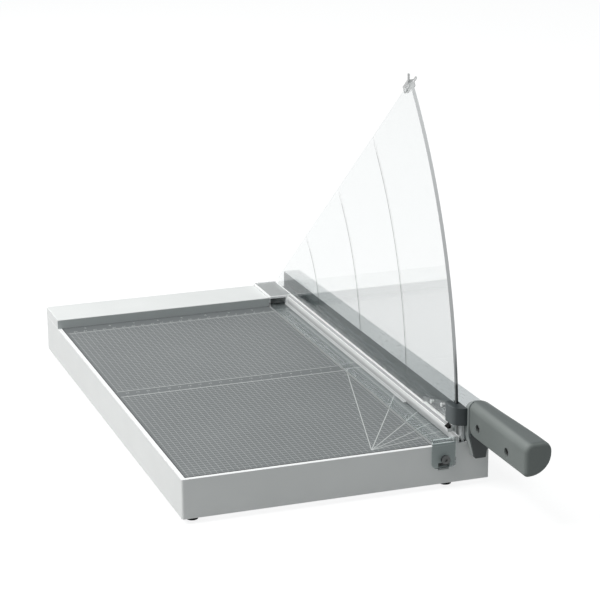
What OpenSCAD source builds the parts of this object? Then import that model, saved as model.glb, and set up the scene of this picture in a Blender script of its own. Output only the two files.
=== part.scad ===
// Guillotine paper cutter for sheets up to A3, with a clear finger guard that also
// clamps the paper. All lengths are in millimetres.
// The pieces are drawn from the lower front left corner of the base: X runs to the right
// along its front edge, Y runs back and Z runs up. set_down() then moves every piece so
// that the origin lies under the middle of the cutter, on the surface it stands on.

/* [Base] */
// Width of the base, from left to right
base_w = 278; // [250:1:310]
// Depth of the base, from front to back
base_d = 489.5; // [440:0.5:540]
// Height of the base, from its lower edge to its rim
base_h = 35.2; // [33:0.1:42]
// Thickness of the base's steel sheet
sheet_t = 2; // [1.6:0.1:2.4]
// Radius of the base's upright corners
corner_r = 2; // [1:0.1:4]
// Width of the bare rim around the mat
rim_w = 4; // [3:0.5:7]
// Thickness of the plate that closes the base from below
plate_t = 1.5; // [1:0.1:2]

/* [Mat and paper stop] */
// Thickness of the printed cutting mat
mat_t = 1.6; // [1:0.1:2]
// Depth of the paper stop along the back edge
stop_d = 50; // [46:1:56]
// Height of the paper stop above the rim
stop_h = 9.2; // [8.6:0.1:11]
// Wall of the paper stop's moulding
stop_wall = 2; // [1.5:0.1:2.5]
// Thickness of the dark measuring face of the paper stop
rule_t = 0.8; // [0.6:0.1:1.2]

/* [Cutting line] */
// Width kept for the arm to the right of the cutting line
arm_bay_w = 25.1; // [24.6:0.1:30]
// Thickness of the bed knife
knife_t = 3.8; // [3:0.1:4.5]
// Height of the bed knife
knife_h = 18; // [15:0.5:20]
// Thickness of the blade
blade_t = 2.5; // [2:0.1:3]
// Height of the blade above the pivot's centre
blade_rise = 16; // [15:0.5:18]
// Depth of the cutting edge below the pivot's centre, at the front
blade_drop = 19; // [16:0.5:21]

/* [Arm and pivot] */
// Distance of the pivot's centre from the back of the base
pivot_back = 35.5; // [34:0.5:40]
// Height of the pivot's centre above the rim
pivot_up = 0.8; // [0:0.1:2]
// Radius of the pivot bolt's shoulder
pivot_r = 5; // [4.5:0.1:5.5]
// Room to the right of the arm's back end, within the width kept for the arm
arm_room_back = 5.4; // [5.2:0.1:8]
// Room to the right of the arm's front end, within the width kept for the arm
arm_room_front = 0.3; // [0.2:0.1:3]
// Height of the arm's top above the pivot's centre, at the back
arm_rise_back = 26; // [24:0.5:27]
// Height of the arm's top above the pivot's centre, at the front
arm_rise_front = 29; // [28:0.5:31]
// Wall of the arm's channel
arm_wall = 3.5; // [3:0.1:4]

/* [Handle] */
// Length of the grip
grip_len = 111; // [100:1:125]
// How far the grip's left side stands in from the bolster's left side
grip_step = 1; // [0.5:0.1:2]
// Height of the grip
grip_h = 29.5; // [28:0.5:34]
// Height of the bolster plate between arm and grip
bolster_h = 51.5; // [49:0.5:55]

/* [Guard and clamp] */
// Thickness of the clear guard
guard_t = 3.2; // [2.6:0.1:3.4]
// Slope of the guard's straight edge, in degrees
guard_slope = 37.4; // [34:0.1:40]
// Height of that edge over the pivot's centre
guard_rise = 30; // [27:0.5:33]
// Width of the clear clamp rail
rail_w = 27.9; // [26:0.1:32]
// Thickness of the clamp rail's flange
flange_t = 2.2; // [1.8:0.1:2.6]
// Height of the clamp rail's bar
bar_h = 12.1; // [11:0.1:13]
// Width of the clamp rail's bar
bar_w = 5.2; // [4.5:0.1:6]
// How far the springs lift the clamp and guard
clamp_lift = 2.5; // [1.5:0.1:2.5]

/* [Feet] */
// Radius of a rubber foot
foot_r = 6; // [5:0.5:8]
// Height of a rubber foot
foot_h = 5; // [4.5:0.1:8]
// Distance of a foot's centre from the edges of the base
foot_inset = 12; // [10:0.5:16]

/* [Hidden] */

// Colours, as the photograph shows them
white_paint = [0.9, 0.91, 0.91];
mat_grey = [0.53, 0.55, 0.55];
dark_grey = [0.33, 0.35, 0.35];
grip_grey = [0.42, 0.44, 0.44];
arm_silver = [0.8, 0.81, 0.82];
steel = [0.68, 0.69, 0.7];
clear_plastic = [0.85, 0.88, 0.88, 0.4];
black_rubber = [0.08, 0.08, 0.08];
brass = [0.75, 0.63, 0.35];

// Shared small sizes
over = 1;          // overrun of every cut
fit_gap = 0.3;     // gap between pieces that move past each other
seat_gap = 0.1;    // gap between a piece and the seat it lies in
run_gap = 0.05;    // radial clearance of a running fit
smooth = 64;       // facets of a full circle
mid = 0.5;         // half, for centres and middles

// Heights of the base's deck
deck_top = base_h - mat_t;
deck_low = deck_top - sheet_t;
stop_y = base_d - stop_d;
mat_tuck = 5;                      // how far the mat runs under the paper stop
mat_back = stop_y + mat_tuck;

// Cutting line, bed knife and slot for the blade
cut_x = base_w - arm_bay_w;
shear_gap = 0.05;                  // gap between blade and bed knife
knife_x = cut_x - shear_gap - knife_t;
knife_front = 8;                   // distance of the bed knife from the front face
slot_side = 2;                     // room on the blade's outer side
slot_x1 = cut_x + blade_t + slot_side;
rail_t = 6;                        // thickness of the steel rail behind the bed knife
rail_h = 18;                       // height of that rail
rail_end_gap = 4;                  // how far the rail stops short of the knife's ends
knife_screw_r = 2;                 // screws of the bed knife and the blade
knife_screw_head_r = 3.6;
knife_screw_head_h = 1.6;
knife_screw_len = 8;
knife_screw_share = 0.4;           // their place down from the deck, a share of the height
knife_screws = 7;
blade_screws_n = 6;
blade_screw_in = 7;                // blade's screws below its top edge
end_margin = 30;                   // from the end of a row of screws to the piece's end

// Pivot
pivot_y = base_d - pivot_back;
pivot_z = base_h + pivot_up;
bay_ahead = 24;                    // opening in the deck, ahead of the pivot and behind it
bay_behind = 28;
bay_y0 = pivot_y - bay_ahead;
bay_y1 = pivot_y + bay_behind;
ear_t = 3.2;                       // thickness of the pivot bracket
ear_half = 13;                     // half the bracket's length
ear_over = 7;                      // left ear above the pivot's centre
ear_over_right = 10;               // right ear above the pivot's centre
ear_shoulder = 8;                  // right ear's full length ends this far below the centre
ear_l = cut_x - seat_gap - ear_t;
bush_wall = 2;
hub_r = 15;
hub_set = 5.6;                     // width of the bush's collar, between blade and hub
collar_r = 11;
arm_x = cut_x + blade_t;
hub_x0 = arm_x + hub_set;
washer_t = 1.2;
washer_r = 9.5;
disc_t = 0.9;
disc_cone = 1;
ear_side = 0.2;                    // room between the right ear and the right wall
ear_r = base_w - sheet_t - ear_side - ear_t;
hub_x1 = ear_r - seat_gap - disc_cone - disc_t - washer_t;
hub_w = hub_x1 - hub_x0;
bolt_head_r = 8;
bolt_head_h = 2;
bolt_thread_r = 4;
bolt_tail = 4.4;                   // thread beyond the left ear, under the nut
nut_r = 7.2;
nut_h = 4;
nut_x0 = ear_l - bolt_tail - fit_gap;
bracket_screw_r = 2.5;
bracket_screw_out = 6.5;           // bracket's screws, before and behind the pivot
bracket_screw_head_r = 3.4;

// Arm
arm_w_back = arm_bay_w - blade_t - arm_room_back;
arm_w_front = arm_bay_w - blade_t - arm_room_front;
arm_front = -2;                    // front end of the arm, past the base's front face
arm_back_r = 17;                   // rounded back end about the pivot
arm_low = 2;                       // underside above the pivot's centre
relief_len = 54;                   // relief round the right ear, ahead of the pivot
relief_y = pivot_y - relief_len;
arm_top_wall = 6;
channel_front = 46;                // solid front of the arm, which holds the tang
channel_back = 60;                 // solid back of the arm, before the pivot
arm_top_back = pivot_z + arm_rise_back;
arm_top_front = pivot_z + arm_rise_front;

// Blade
blade_front = sheet_t + 1.5;       // blade's front end, inside the front wall
edge_drop_back = 9;                // cutting edge below the pivot's centre, at the back
edge_back = 8;                     // where the cutting edge ends, in front of the pivot
bevel_h = 5;                       // height of the ground bevel
bevel_share = 0.1;                 // share of the blade's thickness left at the edge
nose_cut = 7;                      // chamfer at the blade's lower front corner

// Clear guard and clamp rail
guard_gap = 0.5;                   // guard to the blade's plane
guard_x1 = cut_x - guard_gap;
guard_x0 = guard_x1 - guard_t;
guard_front = 9;                   // front of the guard behind the base's front face
guard_r = pivot_y - guard_front;
guard_back = 26.5;                 // back end of the guard behind the pivot
flange_z0 = base_h + fit_gap * mid;
flange_z1 = flange_z0 + flange_t;
rail_x0 = guard_x1 - rail_w;
bar_x0 = guard_x0 - bar_w;
bar_z1 = flange_z0 + bar_h;
bar_low_h = 6.5;                   // height of the bar and of the tab ahead of the bumper
bar_seat_h = 9;                    // height of the bar under the bumper
bar_slant = 2.1;                   // how much lower the bar's top is at its left side
bar_flat = 2.2;                    // level stretch of its top, under the cheek
bar_front = 13;                    // where the full bar starts
rib_h = 1;                         // two fine ribs along the flange
rib_w = 0.8;
rib_gap = 1.6;
rib_front = 106;
rail_back_gap = 2;
notch_gap = 1;                     // rail to the notch in the paper stop
notch_x = rail_x0 + notch_gap;
etch_shares = [0.236, 0.494, 0.751]; // etched arcs, as shares of the guard's radius
etch_w = 0.5;
etch_d = 0.3;

// Rear block of the clamp
block_wall = 2;
block_plate_t = 1.4;
block_rim_h = 1;
block_rim_w = 1.5;
block_lap = 5;                     // how far the block reaches ahead of the paper stop
block_front = stop_y - block_lap;
block_in_left = 0.7;
block_in_right = 1.4;
block_z0 = base_h + stop_h + fit_gap * mid;
block_z1 = block_z0 + block_plate_t;
block_x0 = rail_x0 + block_in_left;
block_x1 = guard_x1 - block_in_right;
block_right = nut_x0 - fit_gap;
block_back = base_d - stop_wall - notch_gap * mid;
pin_r = 2.5;
pin_under = 1.9;                   // pin's top below the paper stop's top
pin_top = base_h + stop_h - pin_under;
pin_x = (rail_x0 + block_right) * mid;
pin_behind = 8;
pin_y = pivot_y + pin_behind;
cup_r = 6.4;
cup_wall = 1.2;
cup_h = 15.6;
spring_r = 4;
spring_wire = 0.7;
spring_turns = 5;

// Front tab of the clamp
tab_w = 21.8;
tab_out = 1;                       // how far the tab reaches beyond the rail's left edge
tab_x0 = rail_x0 - tab_out;
tab_t = 2.7;
tab_gap = 0.5;
tab_drop = 21;                     // lower end of the tab below the rim
tab_low = base_h - tab_drop;
tab_corner = 4;
tab_slot_r = 2.3;
tab_screw_r = 2;
tab_screw_head_r = 4;
tab_screw_head_h = 2;
tab_screw_drop = 12;               // guide screw below the rim
tab_screw_z = base_h - tab_screw_drop;
tab_screw_in = 10.5;               // screw's distance from the tab's left edge
tab_screw_len = 8;
tab_nut_r = 3.9;
tab_nut_h = 3;
lug_w = 10;
lug_h = 3.5;
lug_len = 12;
lug_drop = 22.2;                   // lug's underside below the rim
lug_low = base_h - lug_drop;
spigot_r = 2.5;
spigot_h = 4;
spring_y = 8;

// Bumper, guard bracket, rivets and stop clip
bumper_l = 7;
bumper_h = 2.4;                    // its right side above the bar's top
bumper_lip = 0.7;                  // its height at the left side
bracket_front = 22;
bracket_back = 77;
bracket_h = 15;
bracket_h_back = 5;
bracket_h_front = 12;
bracket_nose = 10;                 // its top corner behind its front edge
bracket_t = 2;
rivet_r = 1.2;
rivet_head_r = 1.8;
rivet_head_h = 0.8;
rivet_ys = [33.5, 57];
rivet_overs = [11.9, 7.1];         // rivets above the bar's top
clip_l = 14;
clip_w = 5;
clip_side = 1.5;
prong_l = 7;
prong_t = 2;
prong_spread = 26;                 // degrees to each side
prong_in = 2;                      // how far a prong starts inside the clip's side

// Guide block on the arm
guide_front = -8;
guide_back = 16;
guide_w = 12;                      // width to the left of the cutting line
guide_x0 = cut_x - guide_w;
guide_low = 17.5;                  // underside above the pivot's centre
guide_h = 15.5;
guide_r = 6;                       // corner at the back left
guide_nose_r = 11.5;               // corner at the front left
guide_slack = 0.4;                 // guard to the sides of its slot
guide_run = 2.8;                   // guard's edge to the slot's end
guide_plate_h = 9;
guide_screw_y = 11;
guide_screw_r = 1.6;
guide_screw_head_r = 3;
guide_screw_head_h = 1.2;
guide_screw_len = 7;

// Bolster, tang and grip
bolster_x0 = cut_x + seat_gap;
bolster_t = 8;
bolster_lip = 4;                   // lower part reaches further forward, under the grip
bolster_top_r = 7;
bolster_low_share = 0.42;          // share of its height below the grip
bolster_foot_in = 4.7;
bolster_foot_w = 13.1;
bolster_knee_share = 0.3;
grip_x0 = bolster_x0 + grip_step;
grip_w = base_w - grip_x0;
grip_back = arm_front - bolster_t;
grip_front = grip_back - grip_len;
grip_over = 40;                    // grip's top above the pivot's centre
grip_top = pivot_z + grip_over;
grip_low = grip_top - grip_h;
grip_r_top = 8;
grip_r_low = 4;
grip_round_w_share = 0.96;         // lower right rounding, as a share of the width left to it
grip_round_h_share = 0.893;        // the same rounding, as a share of the height left to it
grip_end_r = 9;
tang_w = 7;
tang_h = 9;
tang_in = 38;                      // tang inside the arm
tang_out = 95;                     // tang inside the grip
tang_x0 = arm_x + arm_w_front * mid - tang_w * mid;
tang_over = 15;                    // tang's underside above the pivot's centre
tang_z0 = pivot_z + tang_over;
tang_screw_r = 2;
tang_screw_head_r = 3.8;
tang_screw_head_h = 1.6;
tang_screw_sink = 0.5;
tang_screw_x = arm_x + arm_w_front - tang_screw_sink;
tang_screw_ys = [10, 26];
grip_screw_r = 2;
grip_screw_head_r = 3.4;
grip_screw_head_h = 2.2;
grip_screw_well_r = 3.9;
grip_screw_well = 3.6;
grip_screw_ys = [17, 75];          // distances from the grip's back end
grip_screw_over = 20.5;
grip_screw_z = pivot_z + grip_screw_over;
socket_r = 1.5;                    // hexagon socket of the small screws
socket_d = 1;

// Paper stop, feet and posts
stop_screw_r = 1.6;
stop_screw_head_r = 3;
stop_screw_head_h = 1.6;
stop_screw_shares = [0.12, 0.5, 0.84];
boss_r = 4;
post_r = 5;
post_hole_r = 1.7;
post_inset = 14;
post_left = 60;                    // right posts' distance to the left of the cutting line
post_in = 40;                      // posts' distance from the front and back of the base
post_screw_head_r = 3.2;
post_screw_head_h = 1.8;
foot_taper = 1;
foot_well_r = 3.4;
foot_well = 2.6;
foot_screw_r = 1.8;
foot_screw_head_r = 3;
foot_screw_head_h = 1.4;
foot_screw_len = 4;
foot_beside = 7;                   // right feet stand further in, beside the tab's screw
box_back = base_d;
box_front = grip_front;

// Move a piece from the drawing corner to the cutter's own origin
module set_down() {
    translate([-base_w * mid, -(box_front + box_back) * mid, foot_h]) children();
}

// Round bar along X, from its left end
module rod_x(r, len, fn = smooth) {
    rotate([0, 90, 0]) cylinder(r = r, h = len, $fn = fn);
}

// Round bar along Y, from its front end
module rod_y(r, len, fn = smooth) {
    rotate([-90, 0, 0]) cylinder(r = r, h = len, $fn = fn);
}

// Rectangle with round corners, true arcs
module round_rect(w, d, r) {
    translate([r, 0]) square([w - 2 * r, d]);
    translate([0, r]) square([w, d - 2 * r]);
    for (x = [r, w - r], y = [r, d - r]) translate([x, y]) circle(r = r, $fn = smooth);
}

// Shape drawn in Y and Z, given a thickness along X
module side_plate(x0, t) {
    translate([x0, 0, 0]) rotate([90, 0, 90]) linear_extrude(height = t) children();
}

// Shape drawn in X and Z, given a length along Y
module end_plate(y0, len) {
    translate([0, y0 + len, 0]) rotate([90, 0, 0]) linear_extrude(height = len) children();
}

// Screw along -Z, with its head's top at the origin and a hexagon socket in it
module socket_screw(head_r, head_h, r, len) {
    difference() {
        union() {
            translate([0, 0, -head_h]) cylinder(r = head_r, h = head_h, $fn = smooth);
            translate([0, 0, -head_h - len]) cylinder(r = r, h = len + head_h * mid, $fn = smooth);
        }
        translate([0, 0, -socket_d]) cylinder(r = socket_r, h = socket_d + over, $fn = 6);
    }
}

// Countersunk screw along -Z, with its flat face at the origin
module flat_screw(head_r, head_h, r, len) {
    difference() {
        union() {
            translate([0, 0, -head_h]) cylinder(r1 = r, r2 = head_r, h = head_h, $fn = smooth);
            translate([0, 0, -len]) cylinder(r = r, h = len - head_h * mid, $fn = smooth);
        }
        translate([0, 0, -socket_d]) cylinder(r = socket_r, h = socket_d + over, $fn = 6);
    }
}

// Hole for a countersunk screw, a seat gap larger all round
module flat_screw_hole(head_r, head_h, r, len) {
    translate([0, 0, -head_h - seat_gap])
        cylinder(r1 = r + seat_gap, r2 = head_r + seat_gap, h = head_h + seat_gap, $fn = smooth);
    translate([0, 0, -seat_gap * mid]) cylinder(r = head_r + seat_gap, h = over, $fn = smooth);
    translate([0, 0, -len - seat_gap]) cylinder(r = r + seat_gap, h = len, $fn = smooth);
}

// Evenly spaced places along a piece
function row(first, last, n) = [for (i = [0:n - 1]) first + (last - first) * i / (n - 1)];

// Points of an arc about a centre, in degrees
function arc(c, r, a0, a1, n) =
    [for (i = [0:n]) c + r * [cos(a0 + (a1 - a0) * i / n), sin(a0 + (a1 - a0) * i / n)]];

// Places of the screws and feet
knife_ys = row(knife_front + end_margin, bay_y0 - end_margin, knife_screws);
knife_screw_z = deck_low - knife_h * knife_screw_share;
blade_ys = row(guide_back + end_margin, relief_y - end_margin, blade_screws_n);
blade_screw_z = pivot_z + blade_rise - blade_screw_in;
post_xs = [post_inset, cut_x - post_left];
post_ys = row(post_in, base_d - post_in, 3);
tab_screw_x = rail_x0 + tab_screw_in;
foot_xs = [foot_inset, tab_screw_x + foot_beside];
foot_ys = [foot_inset, base_d - foot_inset];
stop_screw_y = stop_y + stop_d * mid;
bracket_y0 = pivot_y - ear_half;
bracket_screw_x = (ear_l + ear_t + ear_r) * mid;
bracket_screw_ys = [pivot_y - bracket_screw_out, pivot_y + bracket_screw_out];
lug_x = tab_screw_x - lug_w * mid;

// Pressed and painted steel base, open below
module base_shell() {
    color(white_paint) set_down() {
        difference() {
            linear_extrude(height = base_h) round_rect(base_w, base_d, corner_r);
            translate([sheet_t, sheet_t, -over])
                cube([base_w - 2 * sheet_t, base_d - 2 * sheet_t, deck_low + over]);
            mat_recess(0, over);
            blade_slot();
            front_wall_openings();
            translate([pin_x, pin_y, deck_low - over])
                cylinder(r = cup_r - cup_wall, h = base_h, $fn = smooth);
            for (s = stop_screw_shares)
                translate([notch_x * s, stop_screw_y, deck_low - over])
                    cylinder(r = stop_screw_r + seat_gap, h = base_h, $fn = smooth);
        }
        for (x = post_xs, y = post_ys) translate([x, y, plate_t])
            difference() {
                cylinder(r = post_r, h = deck_low - plate_t, $fn = smooth);
                translate([0, 0, -over])
                    cylinder(r = post_hole_r, h = deck_low - plate_t, $fn = smooth);
            }
    }
}

// Recess that the mat lies in, from the rim to the bed knife
module mat_recess(gap, extra) {
    translate([rim_w + gap, rim_w + gap, deck_top])
        cube([knife_x - rim_w - 2 * gap, mat_back - rim_w - 2 * gap, mat_t + extra]);
}

// Slot in the deck for bed knife and blade, wider round the pivot, its nut and its head
module blade_slot() {
    translate([knife_x - seat_gap, sheet_t, deck_low - over])
        cube([slot_x1 - knife_x + seat_gap, bay_y0 - sheet_t + over, base_h]);
    translate([knife_x - seat_gap, bay_y0, deck_low - over])
        cube([base_w - sheet_t - knife_x + seat_gap, bay_y1 - bay_y0, base_h]);
    translate([nut_x0 - fit_gap, pivot_y - nut_r - fit_gap, deck_low - over])
        cube([knife_x - nut_x0 + over, 2 * (nut_r + fit_gap), base_h]);
    translate([base_w - sheet_t - over, pivot_y, pivot_z])
        rod_x(bolt_head_r + seat_gap, sheet_t + 2 * over);
}

// Hole for the clamp's guide screw and window for the clamp's lug
module front_wall_openings() {
    translate([tab_screw_x, -over, tab_screw_z]) rod_y(tab_screw_r + seat_gap, sheet_t + 2 * over);
    translate([lug_x - fit_gap, -over, lug_low - fit_gap])
        cube([lug_w + 2 * fit_gap, sheet_t + 2 * over, lug_h + clamp_lift + 2 * fit_gap]);
}

// Steel plate that closes the base and carries the feet and the pivot bracket
module bottom_plate() {
    color(steel) set_down() difference() {
        union() {
            translate([sheet_t + seat_gap, sheet_t + seat_gap, 0])
                cube([base_w - 2 * (sheet_t + seat_gap), base_d - 2 * (sheet_t + seat_gap), plate_t]);
            translate([tab_screw_x, spring_y, 0])
                cylinder(r = spigot_r, h = plate_t + spigot_h, $fn = smooth);
        }
        for (x = post_xs, y = post_ys) translate([x, y, -over])
            cylinder(r = post_hole_r + seat_gap, h = plate_t + 2 * over, $fn = smooth);
        for (x = foot_xs, y = foot_ys) translate([x, y, -over])
            cylinder(r = foot_screw_r + seat_gap, h = plate_t + 2 * over, $fn = smooth);
        for (y = bracket_screw_ys) translate([bracket_screw_x, y, -over])
            cylinder(r = bracket_screw_r + seat_gap, h = plate_t + 2 * over, $fn = smooth);
    }
}

// Six screws that hold the plate to the posts
module bottom_plate_screws() {
    color(steel) set_down() for (x = post_xs, y = post_ys) translate([x, y, -post_screw_head_h])
        rotate([180, 0, 0])
            socket_screw(post_screw_head_r, post_screw_head_h, post_hole_r - seat_gap,
                plate_t + 2 * post_r);
}

// Steel rail under the deck that the bed knife is screwed to
module knife_rail() {
    color(steel) set_down() difference() {
        translate([knife_x - rail_t, knife_front + rail_end_gap, deck_low - rail_h])
            cube([rail_t, bay_y0 - knife_front - 2 * rail_end_gap, rail_h]);
        for (y = knife_ys) translate([knife_x - rail_t - over, y, knife_screw_z])
            rod_x(knife_screw_r + seat_gap, rail_t + 2 * over);
    }
}

// Hardened lower knife, flush with the mat
module bed_knife() {
    color(steel) set_down() difference() {
        translate([knife_x, knife_front, base_h - knife_h])
            cube([knife_t, bracket_y0 - fit_gap - knife_front, knife_h]);
        for (y = knife_ys) translate([knife_x + knife_t, y, knife_screw_z]) rotate([0, 90, 0])
            flat_screw_hole(knife_screw_head_r, knife_screw_head_h, knife_screw_r,
                knife_screw_len);
    }
}

// Countersunk screws of the bed knife
module bed_knife_screws() {
    color(steel) set_down() for (y = knife_ys)
        translate([knife_x + knife_t - seat_gap, y, knife_screw_z]) rotate([0, 90, 0])
            flat_screw(knife_screw_head_r, knife_screw_head_h, knife_screw_r, knife_screw_len);
}

// Printed cutting mat, flush with the rim
module cutting_mat() {
    color(mat_grey) set_down() mat_recess(seat_gap, 0);
}

// Moulded paper stop along the back, with a notch for the clamp at its right end
module paper_stop() {
    color(white_paint) set_down() difference() {
        union() {
            difference() {
                translate([0, stop_y + rule_t, base_h]) cube([knife_x, stop_d - rule_t, stop_h]);
                translate([stop_wall, stop_y + rule_t + stop_wall, base_h - over])
                    cube([notch_x - 2 * stop_wall, stop_d - rule_t - 2 * stop_wall,
                        stop_h - stop_wall + over]);
                translate([notch_x, stop_y - over, base_h - over])
                    cube([base_w, stop_d - stop_wall + over, stop_h + 2 * over]);
            }
            for (s = stop_screw_shares) translate([notch_x * s, stop_screw_y, base_h])
                cylinder(r = boss_r, h = stop_h - stop_wall * mid, $fn = smooth);
            translate([0, stop_y, base_h + stop_h - rule_t]) cube([notch_x, rule_t, rule_t]);
        }
        for (s = stop_screw_shares) translate([notch_x * s, stop_screw_y, base_h - over])
            cylinder(r = stop_screw_r + seat_gap, h = stop_h - stop_wall, $fn = smooth);
    }
}

// Dark measuring face on the front of the paper stop
module paper_stop_rule() {
    color(dark_grey) set_down() translate([0, stop_y, base_h])
        cube([notch_x, rule_t, stop_h - rule_t]);
}

// Screws that hold the paper stop from under the deck
module paper_stop_screws() {
    color(steel) set_down() for (s = stop_screw_shares)
        translate([notch_x * s, stop_screw_y, deck_low - stop_screw_head_h]) rotate([180, 0, 0])
            socket_screw(stop_screw_head_r, stop_screw_head_h, stop_screw_r,
                base_h - deck_low + stop_h - 2 * stop_wall - seat_gap);
}

// Steel bracket with two ears that the pivot bolt runs through
module pivot_bracket() {
    ear_top = pivot_z + ear_over;
    color(steel) set_down() difference() {
        union() {
            translate([ear_l, bracket_y0, plate_t])
                cube([ear_t, 2 * ear_half, ear_top - plate_t]);
            translate([ear_r, bracket_y0, plate_t])
                cube([ear_t, 2 * ear_half, pivot_z - ear_shoulder - plate_t]);
            translate([ear_r, pivot_y, pivot_z]) rod_x(ear_over_right, ear_t);
            translate([ear_r, pivot_y - ear_over_right, plate_t])
                cube([ear_t, 2 * ear_over_right, pivot_z - plate_t]);
            translate([ear_l, bracket_y0, plate_t])
                cube([ear_r + ear_t - ear_l, 2 * ear_half, ear_t]);
        }
        translate([ear_l - over, pivot_y, pivot_z])
            rod_x(bolt_thread_r + run_gap, ear_t + 2 * over);
        translate([ear_r - over, pivot_y, pivot_z]) rod_x(pivot_r + run_gap, ear_t + 2 * over);
        for (y = bracket_screw_ys) translate([bracket_screw_x, y, 0])
            cylinder(r = bracket_screw_r + seat_gap, h = plate_t + ear_t + over, $fn = smooth);
    }
}

// Screws that hold the bracket to the plate
module pivot_bracket_screws() {
    color(steel) set_down() for (y = bracket_screw_ys)
        translate([bracket_screw_x, y, -post_screw_head_h]) rotate([180, 0, 0])
            socket_screw(bracket_screw_head_r, post_screw_head_h, bracket_screw_r,
                plate_t + ear_t);
}

// Shoulder bolt, put in from the right
module pivot_bolt() {
    head_x = ear_r + ear_t;
    color(steel) set_down() translate([0, pivot_y, pivot_z]) difference() {
        union() {
            translate([head_x, 0, 0]) rod_x(bolt_head_r, bolt_head_h);
            translate([ear_l + ear_t, 0, 0]) rod_x(pivot_r, head_x - ear_l - ear_t + seat_gap);
            translate([ear_l - bolt_tail, 0, 0]) rod_x(bolt_thread_r, bolt_tail + ear_t + seat_gap);
        }
        translate([head_x + bolt_head_h * mid, 0, 0]) rod_x(bolt_head_r * mid, bolt_head_h, 6);
    }
}

// Nut on the left end of the pivot bolt
module pivot_nut() {
    color(steel) set_down() translate([ear_l - nut_h, pivot_y, pivot_z]) difference() {
        rod_x(nut_r, nut_h, 6);
        translate([-over, 0, 0]) rod_x(bolt_thread_r + run_gap, nut_h + 2 * over);
    }
}

// Screw in the front wall that guides the clamp's tab
module clamp_guide_screw() {
    color(steel) set_down()
        translate([tab_screw_x, -tab_gap - tab_t - tab_screw_head_h - seat_gap, tab_screw_z])
            rotate([90, 0, 0])
                socket_screw(tab_screw_head_r, tab_screw_head_h, tab_screw_r,
                    tab_t + tab_gap + sheet_t + tab_nut_h);
}

// Nut of the guide screw behind the front wall
module clamp_guide_nut() {
    color(steel) set_down() translate([tab_screw_x, sheet_t, tab_screw_z]) difference() {
        rod_y(tab_nut_r, tab_nut_h, 6);
        translate([0, -over, 0]) rod_y(tab_screw_r + run_gap, tab_nut_h + 2 * over);
    }
}

// Pin that guides the back end of the clamp
module clamp_guide_pin() {
    color(steel) set_down() translate([pin_x, pin_y, deck_low - cup_h + cup_wall])
        cylinder(r = pin_r, h = pin_top - deck_low + cup_h - cup_wall, $fn = smooth);
}

// Steel cup under the deck that holds the pin and the back spring
module spring_cup() {
    color(steel) set_down() translate([pin_x, pin_y, deck_low - cup_h]) difference() {
        cylinder(r = cup_r, h = cup_h, $fn = smooth);
        translate([0, 0, cup_wall]) cylinder(r = cup_r - cup_wall, h = cup_h, $fn = smooth);
    }
}

// Rubber foot with a well for its screw
module foot(x, y) {
    color(black_rubber) set_down() translate([x, y, -foot_h]) difference() {
        cylinder(r1 = foot_r - foot_taper, r2 = foot_r, h = foot_h, $fn = smooth);
        translate([0, 0, -over]) cylinder(r = foot_well_r, h = foot_well + over, $fn = smooth);
        cylinder(r = foot_screw_r + seat_gap, h = foot_h + over, $fn = smooth);
    }
}

module foot_front_left() {
    foot(foot_xs[0], foot_ys[0]);
}

module foot_front_right() {
    foot(foot_xs[1], foot_ys[0]);
}

module foot_rear_left() {
    foot(foot_xs[0], foot_ys[1]);
}

module foot_rear_right() {
    foot(foot_xs[1], foot_ys[1]);
}

// Screws of the four feet
module foot_screws() {
    color(steel) set_down() for (x = foot_xs, y = foot_ys)
        translate([x, y, foot_well - foot_h - foot_screw_head_h]) rotate([180, 0, 0])
            socket_screw(foot_screw_head_r, foot_screw_head_h, foot_screw_r,
                foot_h - foot_well + foot_screw_len);
}

// Arm seen from the side: a sloping top, and a flat back end over the round hub
module arm_side() {
    polygon([[arm_front, pivot_z + arm_low], [arm_front, arm_top_front],
        [pivot_y + arm_back_r, arm_top_back], [pivot_y + arm_back_r, pivot_z],
        [pivot_y, pivot_z], [pivot_y - arm_low, pivot_z + arm_low]]);
}

// Arm seen from above, wider to the front, kept inside by a margin
module arm_plan(inset) {
    polygon([[arm_x + inset, arm_front], [arm_x + arm_w_front - inset, arm_front],
        [arm_x + arm_w_back - inset, pivot_y + arm_back_r],
        [arm_x + inset, pivot_y + arm_back_r]]);
}

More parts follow.
